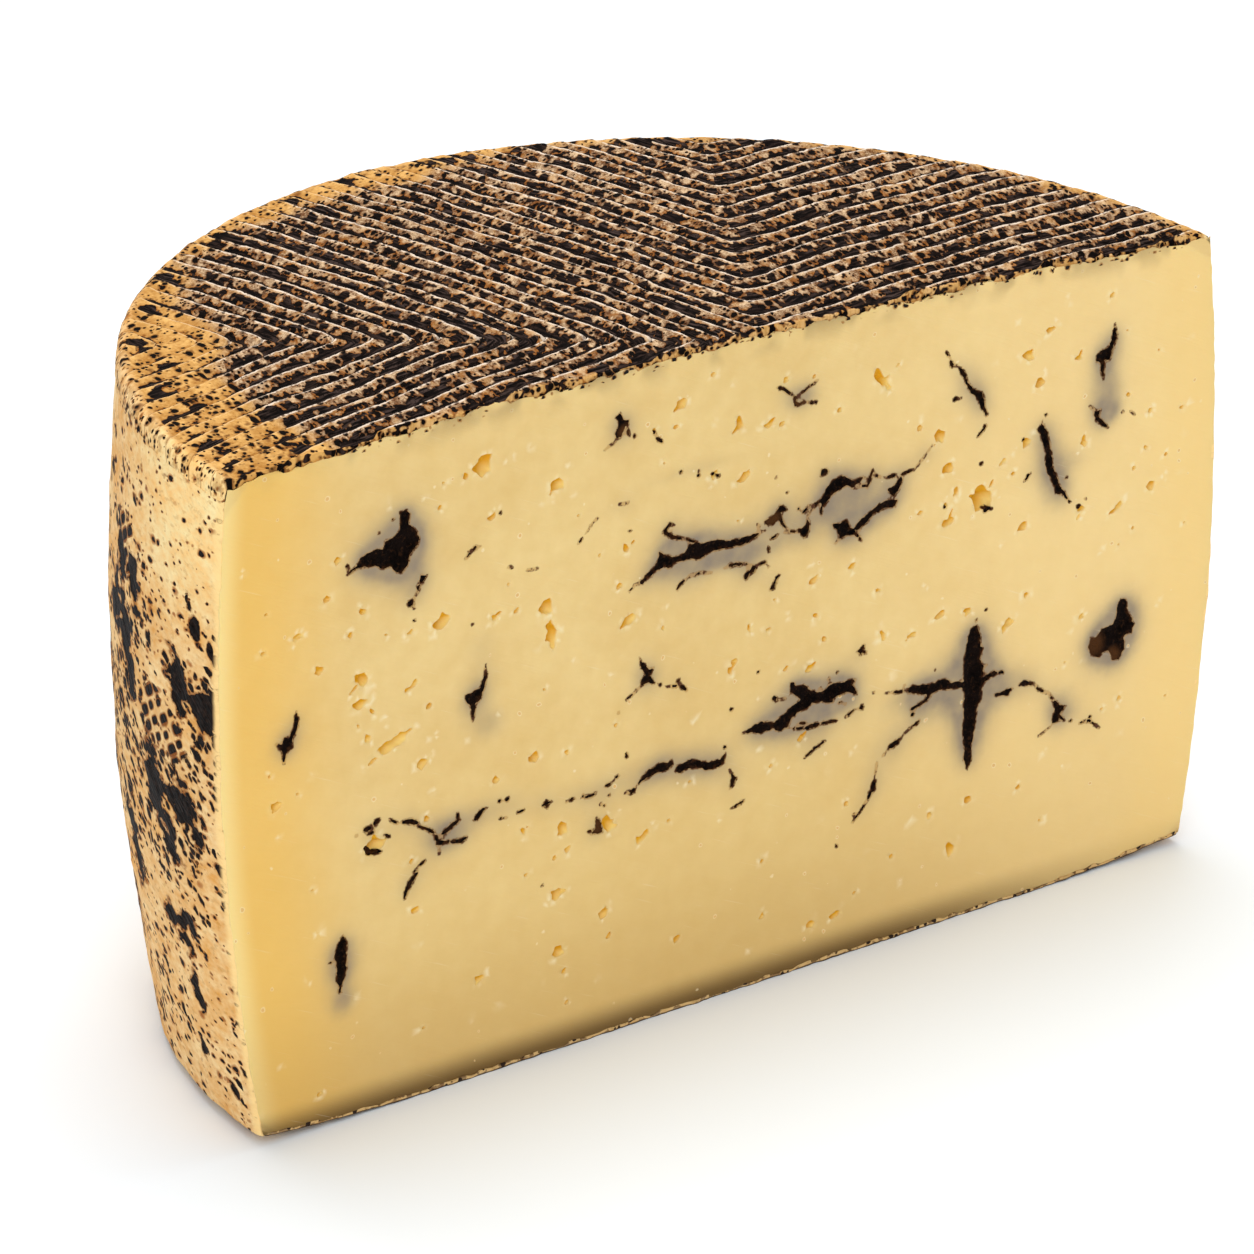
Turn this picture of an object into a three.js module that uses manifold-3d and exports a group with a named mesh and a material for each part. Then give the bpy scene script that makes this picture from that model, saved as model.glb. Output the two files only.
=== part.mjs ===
// Half of a pressed ewes'-milk cheese wheel, cut through its axis and standing on its base.
// Millimetres, +Z up. The cut face looks along -Y, X runs along the cut, and the origin is
// under the middle of the half wheel's box, on the surface that it stands on.
import * as THREE from 'three';
import { mergeVertices } from 'three/addons/utils/BufferGeometryUtils.js';
import Module from 'manifold-3d';

const wasm = await Module();
wasm.setup();
const { degToRad, lerp, clamp, smoothstep } = THREE.MathUtils;

// The wheel: a drum with a bulging side, a low domed top and a slightly lifted foot.
const RIM_RADIUS = 93;
const BELLY_RADIUS = 95.2;
const FOOT_RADIUS = 89.2;
const RIM_HEIGHT = 105.1;
const BELLY_HEIGHT = 65.2;
const DOME_RISE = 2.7;
const SHOULDER_ROUND = 1.6;
const FOOT_LIFT = 1.7;
const FLAT_BASE_RADIUS = 55;
const TOP_SLOPE_X = -0.018;
const TOP_SLOPE_Y = 0.04;
const RIM_SEGMENTS = 96;
const LOWER_SIDE_RINGS = 5;
const UPPER_SIDE_RINGS = 4;
const FOOT_RINGS = 3;

// The print of the mould on the top: four sectors of parallel ridges that meet in creases.
// Each ridge has a gentle bank on one side, a crest and a steep drop on the other side.
const PRINT_CENTRE = new THREE.Vector2(1, -3.8);
const CREASE_ANGLES = [-33, 58, 145, 233];
const RIDGE_ANGLES = [7, 101, 189];
// Which side of its crest a ridge's bank lies on: 1 towards the sector's second crease.
const BANK_SIDES = [-1, 1, 1];
const CREASE_STEP = 5.25;
const STEP_UNEVENNESS = 0.1;
const BANK_SHARE = 0.55;
const DROP_SHARE = 0.09;
const GROOVE_DEPTH = 1;
const PLAIN_GROOVE_SHARE = 0.2;
const RIDGE_WOBBLE = 0.35;
const STATION_COUNT = 9;
const JUNCTION_LENGTH = 1.5;
const SWING_LENGTH = 10;
const OVERHANG = 5;
// How far from the axis the grooves keep their depth, by angle round the wheel.
const GROOVE_REACH = [[-40, 86], [60, 86], [95, 80], [125, 85], [150, 73], [180, 70], [235, 70]];
const GROOVE_FADE = 11;

// Eyes of the paste on the cut face: place along the cut, height, width and height of each.
const EYES = [
  [-46.7, 99, 4.2, 3.6], [-33.6, 92.6, 3, 2.2], [6.7, 91.6, 2.6, 2], [27.6, 94, 2, 5],
  [56.4, 91.7, 2.4, 1.8], [-55.5, 75.5, 2.6, 2], [-36, 73.4, 2.4, 3], [-35.2, 68.4, 2.4, 4.4],
  [-70, 66.7, 3.4, 2], [-70, 71, 2.4, 2], [-21, 67.6, 2.2, 1.8], [47.6, 70, 3.8, 3],
  [-64.5, 58.2, 6, 2.2], [-59.2, 53.5, 3, 3], [-85.5, 53.5, 3, 2.4], [-75, 53, 2.4, 1.6],
  [-31, 61.4, 2.2, 1.4], [75, 62, 2.2, 1.6], [75, 54.5, 2.4, 2], [53, 48, 2.6, 1.4],
  [-68, 43.4, 4.2, 2.6], [-35.5, 26, 2.4, 2.2], [-26, 20.5, 2, 1.6], [-35, 16.4, 2, 2],
  [42, 12, 2, 3], [13.9, 7, 2.6, 1.6], [18.9, 7.2, 2.6, 1.6], [-18, 30, 1.8, 2.6],
];
const EYE_DEPTH_SHARE = 0.8;
const DETAILED_PEBBLE_WIDTH = 3.5;

// Dark veins on the cut face: greatest width, then the places that the vein runs through.
const VEINS = [
  [4.6, [-20, 72], [-15, 75.4], [-8, 75.8], [0, 75], [4.5, 75.4]],
  [2.2, [2.6, 75.2], [12.6, 74], [18, 79], [24, 79.4], [35, 78.5]],
  [2.4, [19.5, 71.5], [26, 73], [30.7, 75.7], [32.6, 79]],
  [1.4, [-10.5, 71], [-1.7, 71.4], [5, 69]],
  [2.4, [-72.4, 88.5], [-68, 89], [-64, 89]],
  [2.6, [-63.4, 86], [-62, 91], [-61.5, 95.4]],
  [2.2, [40, 95.5], [44.5, 90.5], [47.6, 84.5]],
  [2.4, [59, 79.7], [61.6, 71], [65, 65.5]],
  [2.6, [74, 92.6], [71.6, 88.6], [71.4, 85]],
  [2, [-22.4, 101], [-22, 99], [-20.5, 96.6]],
  [2.2, [-47, 66.4], [-49.2, 62], [-49.9, 59.2]],
  [2.2, [-81.7, 68], [-83.4, 64], [-83.8, 60.5]],
  [2.4, [-19.6, 60], [-17.6, 57.6], [-12, 54]],
  [1.4, [-67, 47], [-57, 41.4], [-52, 40]],
  [1.2, [-56.5, 41], [-60.5, 37.6], [-63, 33.5]],
  [1.8, [-33, 40.7], [-25.5, 40.5]],
  [2.6, [-21, 39.2], [-15.5, 41.8], [-10, 40.6], [-2.5, 40.2]],
  [4.4, [0.5, 43], [8, 44], [13, 46], [22.8, 45.5]],
  [1.2, [10, 41.4], [18.4, 40.4]],
  [2.6, [28, 42], [36, 41], [45, 40.6], [52, 39.6]],
  [4.8, [46.9, 50.4], [46.6, 38], [45.1, 24.4]],
  [1.4, [36.4, 38.4], [29.5, 33], [25.5, 25], [20.6, 20]],
  [1.8, [50.7, 36], [57.6, 36.6], [63.4, 29.4], [70.7, 25.7]],
  [2.6, [-74, 30.4], [-74.6, 20.4]],
  [2.4, [76, 39], [76.2, 43], [76.4, 46]],
];
// Dark lumps on the cut face: place along the cut, height, width and height of each.
const LUMPS = [
  [-63.6, 89, 8, 6.4], [76, 39.6, 8, 8.4], [71.6, 39, 4.6, 4.4], [19.4, 71.8, 3.4, 3.2],
  [16.4, 82, 2, 1.4], [-56.7, 40.7, 2.6, 2.4], [62.6, 29.4, 3, 3.4], [6.5, 66.5, 2, 1.8],
];
const LUMP_DEPTH_SHARE = 0.3;
const VEIN_DEPTH = 1.2;
const VEIN_UNEVENNESS = 0.3;
const VEIN_STEPS_PER_PLACE = 3;
const CUT_CLEARANCE = 1;
const SHORTEST_EDGE = 0.03;
const THINNEST_HEIGHT = 0.006;
const THIN_PASSES = 3;

// The drum's facets are turned by half a segment, so its box ends at the middle of a facet.
const HALF_DEPTH = 0.5 * BELLY_RADIUS * Math.cos(Math.PI / RIM_SEGMENTS);

// Radius of the side at a height: two parabolas that meet at the belly.
function sideRadius(height) {
  const below = height < BELLY_HEIGHT;
  const span = below ? BELLY_HEIGHT : RIM_HEIGHT - BELLY_HEIGHT;
  const end = below ? FOOT_RADIUS : RIM_RADIUS;
  const away = (height - BELLY_HEIGHT) / span;
  return BELLY_RADIUS - (BELLY_RADIUS - end) * away * away;
}

// Height of the plain top over a place: a dome on a sloping rim, rounded at the shoulder.
function topHeight(x, y) {
  const radius = Math.min(Math.hypot(x, y), RIM_RADIUS);
  const dome = DOME_RISE * (1 - (radius / RIM_RADIUS) ** 2.5);
  const into = Math.max(radius - (RIM_RADIUS - SHOULDER_ROUND), 0);
  const drop = SHOULDER_ROUND - Math.sqrt(SHOULDER_ROUND ** 2 - into ** 2);
  return RIM_HEIGHT + dome + TOP_SLOPE_X * x + TOP_SLOPE_Y * y - drop;
}

// Depth of the grooves at a place: full inside the reach, nearly plain at the left and back rim.
function grooveDepth(x, y) {
  const turn = THREE.MathUtils.radToDeg(Math.atan2(y, x));
  const angle = turn < GROOVE_REACH[0][0] ? turn + 360 : turn;
  const last = GROOVE_REACH.length - 1;
  const next = clamp(GROOVE_REACH.findIndex(([limit]) => limit > angle), 1, last);
  const [fromAngle, fromReach] = GROOVE_REACH[next - 1];
  const [toAngle, toReach] = GROOVE_REACH[next];
  const reach = lerp(fromReach, toReach, clamp((angle - fromAngle) / (toAngle - fromAngle), 0, 1));
  const plain = smoothstep(Math.hypot(x, y), reach, reach + GROOVE_FADE);
  return GROOVE_DEPTH * lerp(1, PLAIN_GROOVE_SHARE, plain);
}

// A manifold solid from a closed three.js geometry.
function toSolid(geometry) {
  const bare = geometry.clone();
  bare.deleteAttribute('normal');
  bare.deleteAttribute('uv');
  const merged = mergeVertices(bare, 1e-4);
  const corners = merged.index.array;
  const kept = [];
  for (let i = 0; i < corners.length; i += 3) {
    const [a, b, c] = [corners[i], corners[i + 1], corners[i + 2]];
    if (a !== b && b !== c && c !== a) kept.push(a, b, c);
  }
  return new wasm.Manifold(new wasm.Mesh({
    numProp: 3,
    vertProperties: new Float32Array(merged.attributes.position.array),
    triVerts: new Uint32Array(kept),
  }));
}

// The drum under the print: base, side, and a straight collar for the print to be cut out of.
function drum() {
  const footEdge = sideRadius(FOOT_LIFT);
  const collarTop = RIM_HEIGHT + DOME_RISE + (TOP_SLOPE_Y - TOP_SLOPE_X) * BELLY_RADIUS;
  const profile = [new THREE.Vector2(0, 0)];
  for (let i = 0; i < FOOT_RINGS; i += 1) {
    const radius = lerp(FLAT_BASE_RADIUS, footEdge, i / FOOT_RINGS);
    const lift = (radius - FLAT_BASE_RADIUS) / (footEdge - FLAT_BASE_RADIUS);
    profile.push(new THREE.Vector2(radius, FOOT_LIFT * lift ** 2));
  }
  for (let i = 0; i < LOWER_SIDE_RINGS; i += 1) {
    const height = lerp(FOOT_LIFT, BELLY_HEIGHT, i / LOWER_SIDE_RINGS);
    profile.push(new THREE.Vector2(sideRadius(height), height));
  }
  for (let i = 0; i <= UPPER_SIDE_RINGS; i += 1) {
    const height = lerp(BELLY_HEIGHT, RIM_HEIGHT, i / UPPER_SIDE_RINGS);
    profile.push(new THREE.Vector2(sideRadius(height), height));
  }
  profile.push(new THREE.Vector2(RIM_RADIUS, collarTop), new THREE.Vector2(0, collarTop));
  const lathe = new THREE.LatheGeometry(profile, RIM_SEGMENTS).rotateX(Math.PI / 2);
  return toSolid(lathe.rotateZ(Math.PI / RIM_SEGMENTS));
}

// Distance along a ray at which it leaves a circle round the wheel's axis.
function exitDistance(start, along, radius) {
  const across = start.dot(along);
  const reach = across ** 2 + radius ** 2 - start.lengthSq();
  return Math.max(Math.sqrt(Math.max(reach, 0)) - across, 0);
}

function direction(degrees) {
  return new THREE.Vector2(Math.cos(degToRad(degrees)), Math.sin(degToRad(degrees)));
}

// The lines of the print that start on a crease: each ridge's foot, crest and drop. "at" is the
// distance from the print's centre, and "low" is how much of the groove's depth a line lies down.
function creaseLines(crease) {
  const lines = [];
  const count = Math.floor((RIM_RADIUS - SHOULDER_ROUND) / CREASE_STEP);
  for (let i = 1; i <= count; i += 1) {
    const crest = CREASE_STEP * (i + STEP_UNEVENNESS * Math.sin(2.3 * i));
    lines.push({ at: crest - BANK_SHARE * CREASE_STEP, low: 1 });
    lines.push({ at: crest, low: 0 });
    lines.push({ at: crest + DROP_SHARE * CREASE_STEP, low: 1 });
  }
  lines.push({ at: exitDistance(PRINT_CENTRE, crease, RIM_RADIUS + OVERHANG), low: 1 });
  return lines;
}

// Points of one line from its crease to past the rim. Where the bank and the drop of a ridge
// change sides at the crease, its low lines shift along the crease just after the junction.
function lineStations(start, along, low, shift) {
  const run = start.clone().add(shift);
  const end = exitDistance(run, along, RIM_RADIUS + OVERHANG);
  const shoulder = exitDistance(run, along, RIM_RADIUS - SHOULDER_ROUND);
  const junction = Math.min(JUNCTION_LENGTH, shoulder / 2);
  const distances = [];
  for (let i = 0; i <= STATION_COUNT; i += 1) {
    distances.push(lerp(junction, shoulder, i / STATION_COUNT));
  }
  distances.push(lerp(shoulder, end, 0.6), end);
  const places = distances.map((distance) => {
    const place = along.clone().multiplyScalar(distance).add(run);
    const swing = Math.sin(place.x * 0.21 + 2 * Math.sin(place.y * 0.13));
    const sideways = RIDGE_WOBBLE * swing * Math.min(distance / SWING_LENGTH, 1);
    return place.add(new THREE.Vector2(-along.y, along.x).multiplyScalar(sideways));
  });
  return [start, ...places].map(({ x, y }) => {
    return new THREE.Vector3(x, y, topHeight(x, y) - grooveDepth(x, y) * low);
  });
}

// One sector of the print as rows of points, from its first crease to its second.
function sectorRows(sector) {
  const along = direction(RIDGE_ANGLES[sector]);
  const rowsFrom = (creaseAngle, crossed) => {
    const crease = direction(creaseAngle);
    const shiftLength = (BANK_SHARE - DROP_SHARE) * CREASE_STEP;
    return creaseLines(crease).map(({ at, low }) => {
      const start = crease.clone().multiplyScalar(at).add(PRINT_CENTRE);
      const shift = crease.clone().multiplyScalar(crossed ? shiftLength * low : 0);
      return lineStations(start, along, low, shift);
    });
  };
  const bankSide = BANK_SIDES[sector];
  const first = rowsFrom(CREASE_ANGLES[sector], bankSide < 0);
  const second = rowsFrom(CREASE_ANGLES[sector + 1], bankSide > 0);
  const middle = middleRows(sector, along, bankSide);
  return { first, second, all: [...first].reverse().concat(middle, second) };
}

// The three lines of a sector's middle ridge, which starts at the print's centre.
function middleRows(sector, along, bankSide) {
  const pitch = CREASE_STEP * Math.sin(degToRad(RIDGE_ANGLES[sector] - CREASE_ANGLES[sector]));
  const across = new THREE.Vector2(-along.y, along.x).multiplyScalar(bankSide * pitch);
  const offsets = [-DROP_SHARE, 0, BANK_SHARE];
  const rows = offsets.map((offset) => {
    const low = offset === 0 ? 0 : 1;
    const stations = lineStations(PRINT_CENTRE, along, low, across.clone().multiplyScalar(offset));
    stations[0].z = topHeight(PRINT_CENTRE.x, PRINT_CENTRE.y) - GROOVE_DEPTH;
    return stations;
  });
  return bankSide < 0 ? rows.reverse() : rows;
}

// A block under the printed top that reaches below the base. It covers the three sectors.
function printBlock() {
  const sectors = RIDGE_ANGLES.map((_, sector) => sectorRows(sector));
  const corners = [];
  const addTriangle = (a, b, c) => corners.push(...a.toArray(), ...b.toArray(), ...c.toArray());
  for (const { all } of sectors) {
    for (let row = 0; row + 1 < all.length; row += 1) {
      for (let i = 0; i + 1 < all[row].length; i += 1) {
        addTriangle(all[row][i], all[row][i + 1], all[row + 1][i + 1]);
        addTriangle(all[row][i], all[row + 1][i + 1], all[row + 1][i]);
      }
    }
  }
  const { first, all: firstRows } = sectors[0];
  const centre = firstRows[first.length][0];
  const lastSector = sectors[sectors.length - 1];
  const outline = [centre, ...first.map((row) => row[0])];
  sectors.forEach(({ all }) => outline.push(...all.map((row) => row[row.length - 1])));
  outline.push(...lastSector.second.map((row) => row[0]).reverse(), centre);
  const bottom = -CUT_CLEARANCE;
  const hub = new THREE.Vector3(0, RIM_RADIUS / 3, bottom);
  for (let i = 0; i + 1 < outline.length; i += 1) {
    const [from, to] = [outline[i], outline[i + 1]];
    const fromBottom = new THREE.Vector3(from.x, from.y, bottom);
    const toBottom = new THREE.Vector3(to.x, to.y, bottom);
    addTriangle(fromBottom, toBottom, to);
    addTriangle(fromBottom, to, from);
    addTriangle(hub, toBottom, fromBottom);
  }
  const geometry = new THREE.BufferGeometry();
  geometry.setAttribute('position', new THREE.Float32BufferAttribute(corners, 3));
  return toSolid(geometry);
}

// The half of space behind the cut, as a box that holds the whole half wheel.
function halfBox() {
  const size = 3 * BELLY_RADIUS;
  const box = new THREE.BoxGeometry(size, size, size).translate(0, size / 2, 0);
  return toSolid(box);
}

// An eye or a lump's hollow: a small faceted pebble, turned a little further for each next one.
function pebbleCutter([x, height, width, tall], index, depthShare) {
  const pebble = new THREE.IcosahedronGeometry(0.5, width > DETAILED_PEBBLE_WIDTH ? 1 : 0);
  pebble.rotateY(index + 0.4).rotateX(0.7 * index + 0.3);
  pebble.scale(width, 2 * depthShare * width, tall);
  return toSolid(pebble.translate(x, 0, height));
}

// A vein: a shallow slot along a smooth line, widest in its middle and pointed at both ends.
function veinCutter([width, ...places]) {
  const curve = new THREE.SplineCurve(places.map(([x, height]) => new THREE.Vector2(x, height)));
  const steps = VEIN_STEPS_PER_PLACE * (places.length - 1);
  const edge = (side) => {
    const points = [];
    for (let i = 1; i < steps; i += 1) {
      const share = i / steps;
      const tangent = curve.getTangent(share);
      const unevenness = 1 + VEIN_UNEVENNESS * Math.sin(places[0][0] + 4 * side + 5 * i);
      const half = 0.5 * width * unevenness * Math.sqrt(Math.sin(Math.PI * share));
      const across = new THREE.Vector2(-tangent.y, tangent.x).multiplyScalar(side * half);
      points.push(curve.getPoint(share).add(across));
    }
    return points;
  };
  const outline = [curve.getPoint(0), ...edge(-1), curve.getPoint(1), ...edge(1).reverse()];
  const depth = VEIN_DEPTH + CUT_CLEARANCE;
  const slot = new THREE.ExtrudeGeometry(new THREE.Shape(outline), { depth, bevelEnabled: false });
  return toSolid(slot.rotateX(Math.PI / 2).translate(0, VEIN_DEPTH, 0));
}

function halfWheel() {
  const uncut = drum().intersect(printBlock()).intersect(halfBox());
  const cutters = [
    ...EYES.map((eye, index) => pebbleCutter(eye, index, EYE_DEPTH_SHARE)),
    ...LUMPS.map((lump, index) => pebbleCutter(lump, index, LUMP_DEPTH_SHARE)),
    ...VEINS.map(veinCutter),
  ];
  return cutters.reduce((body, cutter) => body.subtract(cutter), uncut);
}

// Triangles with one vertex replaced by another. A triangle that collapses is dropped, and so
// are two that then lie back to back.
function replaceVertex(triangles, removed, standIn) {
  const kept = new Map();
  for (const triangle of triangles) {
    const [a, b, c] = triangle.map((index) => (index === removed ? standIn : index));
    if (a === b || b === c || c === a) continue;
    const key = [a, b, c].sort((first, second) => first - second).join();
    if (kept.has(key)) kept.delete(key);
    else kept.set(key, [a, b, c]);
  }
  return [...kept.values()];
}

// The three turns of a triangle, each starting with another edge.
function turns([a, b, c]) {
  return [[a, b, c], [b, c, a], [c, a, b]];
}

// Cuts leave some vertices almost on top of each other: the ends of a very short edge are joined.
function joinShortEdges(triangles, vertex) {
  const isShort = ([from, to]) => vertex(from).distanceTo(vertex(to)) < SHORTEST_EDGE;
  let joined = triangles;
  for (;;) {
    const [kept, removed] = joined.flatMap(turns).find(isShort) ?? [];
    if (removed === undefined) return joined;
    joined = replaceVertex(joined, removed, kept);
  }
}

// Height of a triangle over its first edge.
function heightOver([a, b, c], vertex) {
  const edge = new THREE.Line3(vertex(a), vertex(b));
  return edge.closestPointToPoint(vertex(c), true, new THREE.Vector3()).distanceTo(vertex(c));
}

// Three vertices almost in line make a triangle without area. The edge it lies along is turned,
// so that it joins the middle vertex to the far corner of the triangle on the other side.
function turnThinTriangles(triangles, vertex) {
  const turned = [...triangles];
  const lowest = (pair) => Math.min(...pair.flatMap(turns).map((turn) => heightOver(turn, vertex)));
  for (let pass = 0; pass < THIN_PASSES; pass += 1) {
    for (let thin = 0; thin < turned.length; thin += 1) {
      const lying = turns(turned[thin]).find((turn) => heightOver(turn, vertex) < THINNEST_HEIGHT);
      if (lying === undefined) continue;
      const [a, b, c] = lying;
      const isNeighbour = (triangle) => turns(triangle).some(([from, to]) => from === b && to === a);
      const other = turned.findIndex(isNeighbour);
      const d = turned[other].find((index) => index !== a && index !== b);
      const isJoined = turned.some((triangle) => triangle.includes(c) && triangle.includes(d));
      const pair = [[c, a, d], [d, b, c]];
      if (isJoined || lowest(pair) <= lowest([turned[thin], turned[other]])) continue;
      [turned[thin], turned[other]] = pair;
    }
  }
  return turned;
}

// A three.js geometry from a manifold solid.
function toGeometry(solid) {
  const { vertProperties, triVerts } = solid.getMesh();
  const vertex = (index) => new THREE.Vector3().fromArray(vertProperties, 3 * index);
  const triangles = [];
  for (let i = 0; i < triVerts.length; i += 3) triangles.push([...triVerts.slice(i, i + 3)]);
  const clean = turnThinTriangles(joinShortEdges(triangles, vertex), vertex);
  const geometry = new THREE.BufferGeometry();
  geometry.setAttribute('position', new THREE.Float32BufferAttribute(vertProperties, 3));
  geometry.setIndex(clean.flat());
  return geometry;
}

const paste = new THREE.MeshStandardMaterial({ color: 0xe9cf96, roughness: 0.5, metalness: 0 });
const wheel = new THREE.Mesh(toGeometry(halfWheel()), paste);
wheel.name = 'half_wheel';
wheel.position.y = -HALF_DEPTH;

const cheese = new THREE.Group();
cheese.add(wheel);

export default cheese;
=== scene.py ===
"""Half of a pressed ewes'-milk cheese wheel with truffle veins, standing on its base.

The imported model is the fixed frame. Its axes hold here too: the cut face looks along -Y,
X runs along the cut, Z is up. Sizes are in millimetres until a mesh is placed.
"""
import math

import bmesh
import bpy
import numpy as np
from mathutils import Matrix, Vector
from mathutils.geometry import delaunay_2d_cdt


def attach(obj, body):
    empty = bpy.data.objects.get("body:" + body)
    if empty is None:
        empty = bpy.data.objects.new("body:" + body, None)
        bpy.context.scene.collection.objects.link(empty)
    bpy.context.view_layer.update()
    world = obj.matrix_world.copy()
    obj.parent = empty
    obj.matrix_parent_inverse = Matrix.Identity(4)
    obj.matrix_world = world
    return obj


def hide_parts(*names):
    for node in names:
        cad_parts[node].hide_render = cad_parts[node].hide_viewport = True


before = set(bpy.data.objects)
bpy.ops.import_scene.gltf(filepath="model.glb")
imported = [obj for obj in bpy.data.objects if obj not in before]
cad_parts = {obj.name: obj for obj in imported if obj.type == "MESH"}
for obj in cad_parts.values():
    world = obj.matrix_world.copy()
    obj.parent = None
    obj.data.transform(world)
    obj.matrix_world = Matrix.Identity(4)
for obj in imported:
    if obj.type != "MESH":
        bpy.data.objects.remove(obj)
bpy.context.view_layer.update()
scene = bpy.context.scene

# ------------------------------------------------------------------------------------------
# Camera, light and floor: a long lens, turned to the left of the cut face and raised a little,
# a wide soft lamp overhead, a pale surround and a plain pale floor.
# ------------------------------------------------------------------------------------------
LENS = 220.94
SENSOR_WIDTH = 36.0
CAMERA_DISTANCE = 1.15405
CAMERA_TURN = -0.6408
CAMERA_RISE = 0.3991
CAMERA_ROLL = -0.0068
CAMERA_TARGET = Vector((-0.02126, -0.04757, 0.06623))

camera_data = bpy.data.cameras.new("camera")
camera_data.lens = LENS
camera_data.sensor_width = SENSOR_WIDTH
camera_data.clip_start = 0.05
camera_data.clip_end = 20.0
camera = bpy.data.objects.new("camera", camera_data)
scene.collection.objects.link(camera)
scene.camera = camera
camera_back = Vector((
    math.sin(CAMERA_TURN) * math.cos(CAMERA_RISE),
    -math.cos(CAMERA_TURN) * math.cos(CAMERA_RISE),
    math.sin(CAMERA_RISE),
))
level_right = Vector((math.cos(CAMERA_TURN), math.sin(CAMERA_TURN), 0.0))
level_up = camera_back.cross(level_right)
camera_right = math.cos(CAMERA_ROLL) * level_right + math.sin(CAMERA_ROLL) * level_up
camera_up = math.cos(CAMERA_ROLL) * level_up - math.sin(CAMERA_ROLL) * level_right
camera_turn = Matrix((camera_right, camera_up, camera_back)).transposed()
camera_place = CAMERA_TARGET + CAMERA_DISTANCE * camera_back
camera.matrix_world = Matrix.Translation(camera_place) @ camera_turn.to_4x4()

scene.view_settings.view_transform = "Standard"
scene.view_settings.look = "None"

SURROUND_STRENGTH = 0.56
world = bpy.data.worlds.new("surround")
world.use_nodes = True
surround = world.node_tree.nodes["Background"]
surround.inputs["Color"].default_value = (1.0, 1.0, 1.0, 1.0)
surround.inputs["Strength"].default_value = SURROUND_STRENGTH
scene.world = world


def add_lamp(name, place, aim, size, power, tint):
    """A square soft lamp that shines from a place towards a point."""
    data = bpy.data.lights.new(name, "AREA")
    data.shape = "SQUARE"
    data.size = size
    data.energy = power
    data.color = tint
    lamp = bpy.data.objects.new(name, data)
    scene.collection.objects.link(lamp)
    lamp.location = place
    lamp.rotation_euler = (Vector(place) - Vector(aim)).to_track_quat("Z", "Y").to_euler()


LAMP_AIM = (0.0, 0.0, 0.05)
add_lamp("overhead", (0.15, 0.35, 1.25), LAMP_AIM, 1.0, 11.5, (1.0, 1.0, 1.0))
add_lamp("front", (-0.84, -1.13, 0.95), LAMP_AIM, 1.1, 9.6, (1.0, 1.0, 1.0))


def colour(code, alpha=1.0):
    """A display colour such as "E9CF96" as linear light."""
    parts = [int(code[i:i + 2], 16) / 255 for i in (0, 2, 4)]
    return [p / 12.92 if p <= 0.04045 else ((p + 0.055) / 1.055) ** 2.4 for p in parts] + [alpha]


def put(tree, kind, inputs=None, **settings):
    """A shader node with its settings; each input takes a value or another node's output."""
    made = tree.nodes.new(kind)
    for key, value in settings.items():
        setattr(made, key, value)
    for key, value in (inputs or {}).items():
        if isinstance(value, bpy.types.NodeSocket):
            tree.links.new(value, made.inputs[key])
        else:
            made.inputs[key].default_value = value
    return made


def new_material(name, **constants):
    """A material with a Principled shader, its fixed values set by the sockets' names."""
    made = bpy.data.materials.new(name)
    made.use_nodes = True
    shader = made.node_tree.nodes["Principled BSDF"]
    for key, value in constants.items():
        shader.inputs[key.replace("_", " ")].default_value = value
    return made, made.node_tree, shader


FLOOR_HALF = 4.0
floor_mesh = bpy.data.meshes.new("floor")
floor_mesh.from_pydata(
    [(-FLOOR_HALF, -FLOOR_HALF, 0.0), (FLOOR_HALF, -FLOOR_HALF, 0.0),
     (FLOOR_HALF, FLOOR_HALF, 0.0), (-FLOOR_HALF, FLOOR_HALF, 0.0)], [], [(0, 1, 2, 3)])
floor = bpy.data.objects.new("floor", floor_mesh)
scene.collection.objects.link(floor)
floor_paint, tree, shader = new_material("floor_paint", Roughness=0.7)
shader.inputs["Base Color"].default_value = colour("F6FBFF")
shader.inputs["Specular IOR Level"].default_value = 0.2
floor.data.materials.append(floor_paint)

# ------------------------------------------------------------------------------------------
# Rind of the top: the skin that the press leaves, printed by the woven mould with parallel
# ridges in three sectors. Dark mould fills the valleys and the banks stay tan; the pale crests
# carry a painted highlight, and a painted shadow lies just under them.
# ------------------------------------------------------------------------------------------
RIM_RADIUS = 93.0
BELLY_RADIUS = 95.2
FOOT_RADIUS = 89.2
RIM_HEIGHT = 105.1
BELLY_HEIGHT = 65.2
DOME_RISE = 2.7
SHOULDER_ROUND = 1.6
TOP_SLOPE_X = -0.018
TOP_SLOPE_Y = 0.04
HALF_DEPTH = 0.5 * BELLY_RADIUS * math.cos(math.pi / 96)
PRINT_CENTRE = (1.0, -3.8)
CREASE_ANGLES = [-33, 58, 145, 233]
RIDGE_ANGLES = [7, 101, 189]
BANK_SIDES = [-1, 1, 1]
CREASE_STEP = 5.25
# A ridge is rounded where it bends on a crease: its straight part stands in by the shift.
BEND_SHIFT = 0.55
BEND_LENGTH = 1.3
RIDGE_WOBBLE = 0.35
GROOVE_DEPTH = 1.0
PLAIN_GROOVE_SHARE = 0.42
BEAD_RISE = 0.5
BEAD_WIDTH = 0.8
PRINT_RISE = 0.5
GROOVE_REACH = [[-40, 86], [60, 86], [95, 80], [125, 85], [150, 73], [180, 70], [235, 70]]
GROOVE_FADE = 11.0
JUNCTION_LENGTH = 1.5
# Height of a ridge across one pitch, from one crest over the drop, valley and bank to the next.
RIDGE_SHARES = [0, 0.03, 0.09, 0.25, 0.45, 0.6, 0.8, 0.93, 1]
RIDGE_HEIGHTS = [0, -0.4, -1, -0.93, -1, -0.66, -0.3, -0.1, 0]
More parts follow.
